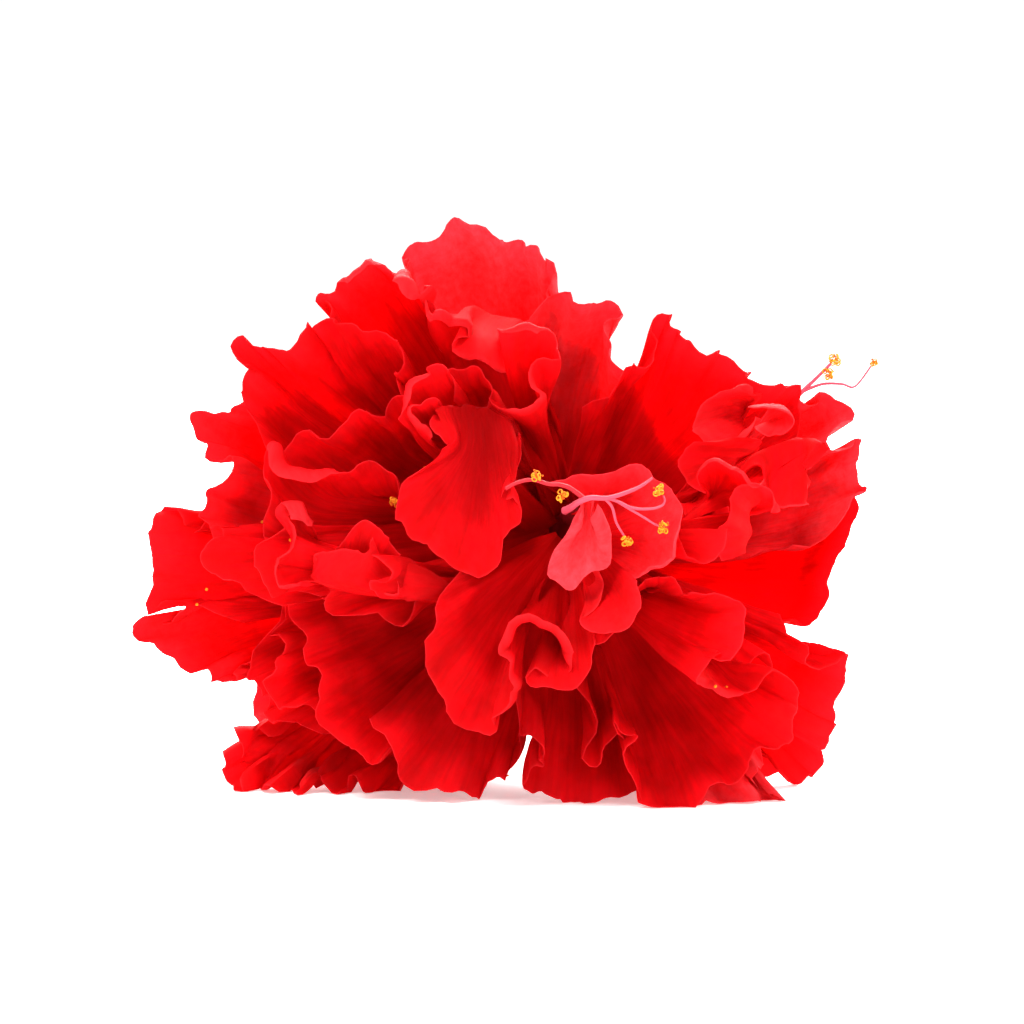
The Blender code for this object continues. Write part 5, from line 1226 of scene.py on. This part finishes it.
def last_added(material):
    """The shape that was added last, given a material."""
    piece = bpy.context.object
    piece.data.materials.append(material)
    return piece


def smooth_lumps(lumps, name):
    """Several round lumps as one smooth piece."""
    whole = joined(lumps, name)
    bpy.ops.object.transform_apply(location=True, rotation=True, scale=True)
    bpy.ops.object.shade_smooth()
    return whole


def anywhere(draw):
    """A random point of a cube round the origin, two wide."""
    return Vector([draw.uniform(-1, 1) for axis in range(3)])


def make_anthers(name, anthers, reach, draw, case, pollen):
    """Each anther is a knot of curled cases, crusted with grains of pollen."""
    lumps = []
    for point, size in anthers:
        centre = (drawn_forward(point, reach) + SHIFT) * MM
        for loop in range(CASES):
            aside = anywhere(draw)
            turn = [draw.uniform(0, math.pi) for axis in range(3)]
            bpy.ops.mesh.primitive_torus_add(location=centre + aside * size * CASE_SPREAD * MM,
                                             rotation=turn, major_segments=16, minor_segments=6,
                                             major_radius=size * CASE_RADIUS * MM,
                                             minor_radius=size * CASE_THICKNESS * MM)
            lumps.append(last_added(case))
        for grain in range(GRAINS):
            way = anywhere(draw).normalized() * size * draw.uniform(*GRAIN_REACH)
            bpy.ops.mesh.primitive_ico_sphere_add(subdivisions=1, radius=GRAIN * MM,
                                                  location=centre + way * MM)
            lumps.append(last_added(pollen))
    return smooth_lumps(lumps, name)


def make_stamens(placed):
    """The sprays of stamens, drawn forward clear of the petals."""
    # Moist stalks of living tissue: pink, with a soft sheen and no shine
    pink = plain_finish("stamen filament", "#CC4054", 0.6)
    red = plain_finish("red stamen filament", "#B81020", 0.6)
    # Dry split cases: warm yellow and matte
    case = plain_finish("anther case", "#EE9010", 0.7)
    # Powdery grains: deep orange, quite matte
    pollen = plain_finish("ripe pollen", "#E05800", 0.8)
    draw = random.Random(SEED)
    for name, filaments, anthers in STAMENS:
        reach = clear_reach(filaments, anthers, placed)
        piece = make_filaments(name, filaments, reach, pink, red)
        finish_piece(piece, name, slot="pink_stamen")
        piece = make_anthers(name + "_anthers", anthers, reach, draw, case, pollen)
        finish_piece(piece, name, slot="pink_stamen")


def first_petal(start, inward):
    """Where a line first meets a finished petal."""
    graph = bpy.context.evaluated_depsgraph_get()
    cast = bpy.context.scene.ray_cast
    met, place, normal, face, piece, matrix = cast(graph, start, inward)
    while met and not piece.name.endswith("_petal"):
        met, place, normal, face, piece, matrix = cast(graph, place + inward * PRESS * MM, inward)
    return place


def make_loose_pollen():
    """Grains of pollen shed on the petals, each on the first petal met from the front."""
    # Single powdery grains: the light goes round them, so they look paler than a crust of them
    pollen = plain_finish("loose pollen", "#F0780C", 0.8)
    inward = lean((0, 1, 0))
    places = [first_petal((lean((across, -IN_FRONT, up)) + SHIFT) * MM, inward)
              for across, up in SHED_GRAINS]
    grains = []
    for place in places:
        bpy.ops.mesh.primitive_ico_sphere_add(subdivisions=2, radius=SHED_GRAIN * MM,
                                              location=place - inward * SHED_GRAIN / 2 * MM)
        grains.append(last_added(pollen))
    finish_piece(smooth_lumps(grains, "loose_pollen"), slot="pink_stamen")


def make_green_parts():
    """Column, calyx, bracts and cut stalk."""
    # Fleshy tissue that gets no light: dark red with painted shade in it, with next to no sheen
    column_red_with_shade = plain_finish("petal column", "#600006", 0.6, 0.05)
    # Waxy leaf: dull green, with a soft broad sheen
    green = plain_finish("green sepal", "#486622", 0.6)
    # Young bark: a paler green, more matte than the leaf
    stalk_green = plain_finish("green stalk", "#546E2C", 0.65)
    column = column_rings(FINE_COLUMN_STEPS, FINE_COLUMN_SIDES)
    finish_piece(ring_piece("petal_column", column, column_red_with_shade), "column", slot="red_column")
    finish_piece(make_calyx(green), "calyx", slot="green_sepal")
    finish_piece(make_bracts(green), "epicalyx", slot="green_sepal")
    finish_piece(make_stalk(stalk_green), "stalk", slot="green_stalk")


def make_stalk(material):
    """The cut stalk behind the bracts, which droops and thickens a little towards its cut."""
    start = BACK - AXIS * (CALYX_DEPTH + COLLAR_DEPTH + 2 * (BLADE / 2 + GAP))
    path = []
    radii = []
    for step in range(GREEN_STEPS + 1):
        t = step / GREEN_STEPS
        path.append(start - AXIS * STALK_LENGTH * t + Vector((0, 0, -STALK_DROOP * t ** 2)))
        radii.append(STALK_RADIUS * (1 + STALK_FLARE * t))
    return ring_piece("cut_stalk", tube_rings(path, radii, STALK_SIDES), material)


def make_calyx(material):
    """The cup with its five pointed teeth, ribbed down to the stalk."""
    sides = CALYX_TEETH * TOOTH_SIDES
    turn = [2 * math.pi * index / sides for index in range(sides)]
    teeth = [(0.5 + 0.5 * math.cos(CALYX_TEETH * angle)) ** TOOTH_POINT for angle in turn]
    ribs = [CALYX_RIB * math.cos(3 * CALYX_TEETH * angle) for angle in turn]
    stalk_end = BACK - AXIS * CALYX_DEPTH
    # How far along from the stalk, the radius there, and how far the teeth stand out beyond it
    shape = [(0.0, STALK_RADIUS + 0.8, 0.0), (0.8, CALYX_RADIUS * 0.45, 0.0),
             (1.5, CALYX_RADIUS * 0.62, 0.0), (3.5, CALYX_RADIUS * 0.80, 0.0),
             (6.0, CALYX_RADIUS * 0.92, 0.5), (7.4, CALYX_RADIUS, 2.0),
             (8.3, CALYX_RADIUS + 0.4, 3.8), (8.8, CALYX_RADIUS + 0.6, TEETH_REACH),
             (9.3, CALYX_RADIUS, 5.2), (9.6, CALYX_RADIUS - 0.6, 4.8),
             (10.2, COLUMN_BACK_RADIUS + 0.6, 0.0)]
    rings = []
    for along, radius, reach in shape:
        ring = ring_round(stalk_end + AXIS * along, AXIS,
                          [radius + reach * tooth + rib for tooth, rib in zip(teeth, ribs)])
        # The teeth lean forward on the backs of the petals
        forward = TEETH_FORWARD * (reach / TEETH_REACH) ** 2
        rings.append([point + AXIS * forward * tooth for point, tooth in zip(ring, teeth)])
    return ring_piece("green_calyx", rings, material)


def make_bracts(material):
    """The ring of narrow bracts outside the calyx, grown together at the stalk."""
    root = BACK - AXIS * (CALYX_DEPTH + BLADE / 2 + GAP)
    low, high = COLLAR_RADII
    collar = [ring_round(root - AXIS * COLLAR_DEPTH, AXIS, [low] * COLLAR_SIDES),
              ring_round(root, AXIS, [high] * COLLAR_SIDES)]
    pieces = [ring_piece("collar", collar, material)]
    first, taken, fullness, least = BRACT_OUTLINE
    for spoke in ring_round(Vector(), AXIS, [1.0] * BRACTS):
        across = AXIS.cross(spoke)
        rings = []
        for step in range(GREEN_STEPS + 1):
            t = step / GREEN_STEPS
            gone = BRACT_LENGTH * math.sin(BRACT_CURVE * t) / BRACT_CURVE
            centre = (root - AXIS * COLLAR_DEPTH / 2 + spoke * (BRACT_ROOT + gone)
                      + AXIS * (BRACT_LENGTH * BRACT_RISE * t ** 2 - BRACT_DIP * t))
            half = BRACT_WIDTH * math.sin(math.pi * (first + taken * t)) ** fullness + least
            ring = []
            for side in range(BRACT_SIDES):
                angle = 2 * math.pi * side / BRACT_SIDES
                ring.append(centre + across * half * math.cos(angle)
                            + AXIS * BRACT_THICKNESS * math.sin(angle))
            rings.append(ring)
        pieces.append(ring_piece("bract", rings, material))
    return joined(pieces, "green_bracts")


def linear(hex_colour):
    """An sRGB hex colour as linear numbers."""
    parts = [int(hex_colour[i:i + 2], 16) / 255 for i in (1, 3, 5)]
    return tuple(((part + 0.055) / 1.055) ** 2.4 if part > 0.04045 else part / 12.92
                 for part in parts) + (1.0,)


def add_node(tree, kind, links=(), **settings):
    """A node with its settings, its sockets' values and what it takes from others."""
    node = tree.nodes.new(kind)
    for key, value in settings.items():
        if hasattr(node, key):
            setattr(node, key, value)
        else:
            node.inputs[key.replace("_", " ")].default_value = value
    for source, target in links:
        tree.links.new(source, node.inputs[target])
    return node


def blended(tree, share, colour, other):
    """A colour drawn by a share towards another one, which is given in hex."""
    return add_node(tree, "ShaderNodeMix", data_type="RGBA", B=linear(other),
                    links=[(share, "Factor"), (colour, "A")]).outputs["Result"]


def petal_skin():
    """Fresh petal: a soft matte skin that lets light through, with faint veins from the claw,
    deeper red down in the bloom that is partly its own and partly painted shade, paler red that is
    partly its own and partly painted light, and a thin painted highlight where its rim catches the
    light."""
    material = bpy.data.materials.new("fresh petal")
    material.use_nodes = True
    tree = material.node_tree
    shader = tree.nodes["Principled BSDF"]
    numbers = {name: add_node(tree, "ShaderNodeAttribute", attribute_name=name).outputs["Fac"]
               for name in SKIN_NUMBERS}
    place = add_node(tree, "ShaderNodeCombineXYZ",
                     links=[(numbers["run"], "X"), (numbers["grown"], "Y")])
    # Veins about 1.5 mm apart and 10 mm long, drawn wider than the real 0.3 mm so that they show
    stretched = add_node(tree, "ShaderNodeMapping", links=[(place.outputs[0], "Vector")],
                         Scale=(0.8, 0.09, 1.0))
    veins = add_node(tree, "ShaderNodeTexNoise", links=[(stretched.outputs[0], "Vector")],
                     Scale=1.0, Detail=3.0, Roughness=0.6)
    # Fine crinkles about 2 mm across, and patches of lighter and darker red about 8 mm across
    crepe = add_node(tree, "ShaderNodeTexNoise", links=[(place.outputs[0], "Vector")],
                     Scale=0.55, Detail=5.0, Roughness=0.7)
    mottle = add_node(tree, "ShaderNodeTexNoise", links=[(place.outputs[0], "Vector")],
                      Scale=0.12, Detail=3.0, Roughness=0.6)
    streaked = add_node(tree, "ShaderNodeMath", operation="MULTIPLY",
                        links=[(mottle.outputs["Fac"], 0), (veins.outputs["Fac"], 1)])
    body = add_node(tree, "ShaderNodeValToRGB", links=[(streaked.outputs[0], "Fac")])
    for stop, (position, red) in zip(body.color_ramp.elements, BODY_REDS):
        stop.position = position
        stop.color = linear(red)
    # Painted shade, partly the petal's own darker red: a deeper red down in the bloom
    deep_and_shaded_red = blended(tree, numbers["deep_and_shaded"], body.outputs["Color"], "#8C0000")
    # Pale zones, partly the petal's own paler red and partly painted light, are flecked where the
    # cells between the veins are emptier
    flecks = add_node(tree, "ShaderNodeMapRange", links=[(crepe.outputs["Fac"], "Value")],
                      From_Min=0.35, From_Max=0.65, To_Min=0.6, To_Max=1.3)
    pale_and_lit_share = add_node(tree, "ShaderNodeMath", operation="MULTIPLY", use_clamp=True,
                      links=[(flecks.outputs[0], 0), (numbers["pale_and_lit"], 1)])
    paled_and_lit = blended(tree, pale_and_lit_share.outputs[0], deep_and_shaded_red, "#FF606C")
    # Painted highlight: a thin bright line along the rim
    rim = add_node(tree, "ShaderNodeMapRange", links=[(numbers["left"], "Value")],
                   From_Min=0.0, From_Max=0.6, To_Min=0.14, To_Max=0.0)
    rim_highlighted = blended(tree, rim.outputs[0], paled_and_lit, "#FF3A40")
    relief = add_node(tree, "ShaderNodeMath", operation="ADD",
                      links=[(veins.outputs["Fac"], 0), (crepe.outputs["Fac"], 1)])
    bump = add_node(tree, "ShaderNodeBump", links=[(relief.outputs[0], "Height")],
                    Strength=0.35, Distance=0.0004)
    tree.links.new(rim_highlighted, shader.inputs["Base Color"])
    tree.links.new(bump.outputs[0], shader.inputs["Normal"])
    shader.inputs["Roughness"].default_value = 0.6
    shader.inputs["Specular IOR Level"].default_value = 0.02
    # Light that comes through the thin margin is pinker than what the petal throws back
    margin = add_node(tree, "ShaderNodeMapRange", links=[(numbers["left"], "Value")],
                      From_Min=0.0, From_Max=9.0, To_Min=0.6, To_Max=0.0)
    pinker = blended(tree, margin.outputs[0], rim_highlighted, "#FF6474")
    through = add_node(tree, "ShaderNodeBsdfTranslucent",
                       links=[(pinker, "Color"), (bump.outputs[0], "Normal")])
    mixed = add_node(tree, "ShaderNodeMixShader", Fac=0.45,
                     links=[(shader.outputs[0], 1), (through.outputs[0], 2)])
    tree.links.new(mixed.outputs[0], tree.nodes["Material Output"].inputs["Surface"])
    return material


def plain_finish(name, colour, roughness, specular=0.3):
    """A material of one colour."""
    material = bpy.data.materials.new(name)
    material.use_nodes = True
    shader = material.node_tree.nodes["Principled BSDF"]
    shader.inputs["Base Color"].default_value = linear(colour)
    shader.inputs["Roughness"].default_value = roughness
    shader.inputs["Specular IOR Level"].default_value = specular
    return material


def make_petals(material):
    """Sets the petals on the part's nets, from the back one to the front one, and returns the
    tree of all their blades."""
    draw = random.Random(SEED)
    solids = [tube_solid(column_rings(COLUMN_STEPS, COLUMN_SIDES))]
    nets = []
    levels = claw_levels()
    for petal, level in zip(PETALS, levels):
        place = FIRST_CLAW + (LAST_CLAW - FIRST_CLAW) * level / max(levels)
        if "through" in petal:
            rows = laid_through(petal, place)
        else:
            rows = petal_net(petal, place, draw)
        nets.append(bend_clear(rows, joined_tree(solids)))
        solids.append(blade_solid(nets[-1], BLADE / 2))
    for order, (petal, rows) in enumerate(zip(PETALS, nets)):
        others = joined_tree(solids[:order + 1] + solids[order + 2:])
        make_petal(petal, rows, others, random.Random(PETAL_SEED + order), material)
    return joined_tree(solids)


def make_stage():
    """A floor and a wall of white paper that glow, least beside the bloom, in a dimmer room."""
    # Lit studio paper: even white with no sheen and no grain
    paper = plain_finish("white paper sweep", "#F8F8F8", 0.9, 0.0)
    tree = paper.node_tree
    shader = tree.nodes["Principled BSDF"]
    shader.inputs["Emission Color"].default_value = WHITE
    place = add_node(tree, "ShaderNodeTexCoord")
    away = add_node(tree, "ShaderNodeVectorMath", operation="LENGTH",
                    links=[(place.outputs["Object"], 0)])
    glow = add_node(tree, "ShaderNodeMapRange", links=[(away.outputs["Value"], "Value")],
                    From_Min=GLOW_PLACES[0], From_Max=GLOW_PLACES[1],
                    To_Min=NEAR_GLOW, To_Max=FLOOR_GLOW)
    tree.links.new(glow.outputs[0], shader.inputs["Emission Strength"])
    bpy.ops.mesh.primitive_plane_add(size=FLOOR_SIZE)
    floor = last_added(paper)
    floor.name = "white_floor"
    bpy.ops.mesh.primitive_cylinder_add(vertices=96, radius=BACKDROP_RADIUS,
                                        depth=BACKDROP_DEPTH, end_fill_type="NOTHING",
                                        location=(0, 0, BACKDROP_MIDDLE))
    backdrop = last_added(paper)
    backdrop.name = "white_backdrop"
    world = bpy.data.worlds.new("white studio")
    bpy.context.scene.world = world
    world.use_nodes = True
    background = world.node_tree.nodes["Background"]
    background.inputs["Color"].default_value = WHITE
    background.inputs["Strength"].default_value = ROOM_LIGHT


def soft_light(name, place, power, width):
    """A square lamp turned to the bloom."""
    bpy.ops.object.light_add(type="AREA", location=[part * MM for part in place])
    lamp = bpy.context.object
    lamp.name = name
    lamp.data.energy = power
    lamp.data.size = width * MM
    aim = LIGHT_AIM - Vector(place)
    lamp.rotation_euler = aim.to_track_quat("-Z", "Y").to_euler()


def make_camera():
    """A far camera that looks straight at the front of the bloom."""
    look = Vector((0, math.cos(LEAN), -math.sin(LEAN)))
    target = lean(AIM) + SHIFT
    bpy.ops.object.camera_add(location=(target - look * CAMERA_DISTANCE) * MM,
                              rotation=look.to_track_quat("-Z", "Y").to_euler())
    camera = bpy.context.object
    camera.data.lens = camera.data.sensor_width * CAMERA_DISTANCE / FRAME_WIDTH
    camera.data.clip_end = 100
    bpy.context.scene.camera = camera


bpy.ops.object.select_all(action="DESELECT")
skin = petal_skin()
placed_petals = make_petals(skin)
make_stamens(placed_petals)
make_loose_pollen()
make_green_parts()
make_stage()
for light in LIGHTS:
    soft_light(*light)
make_camera()
bpy.context.scene.view_settings.view_transform = "Standard"
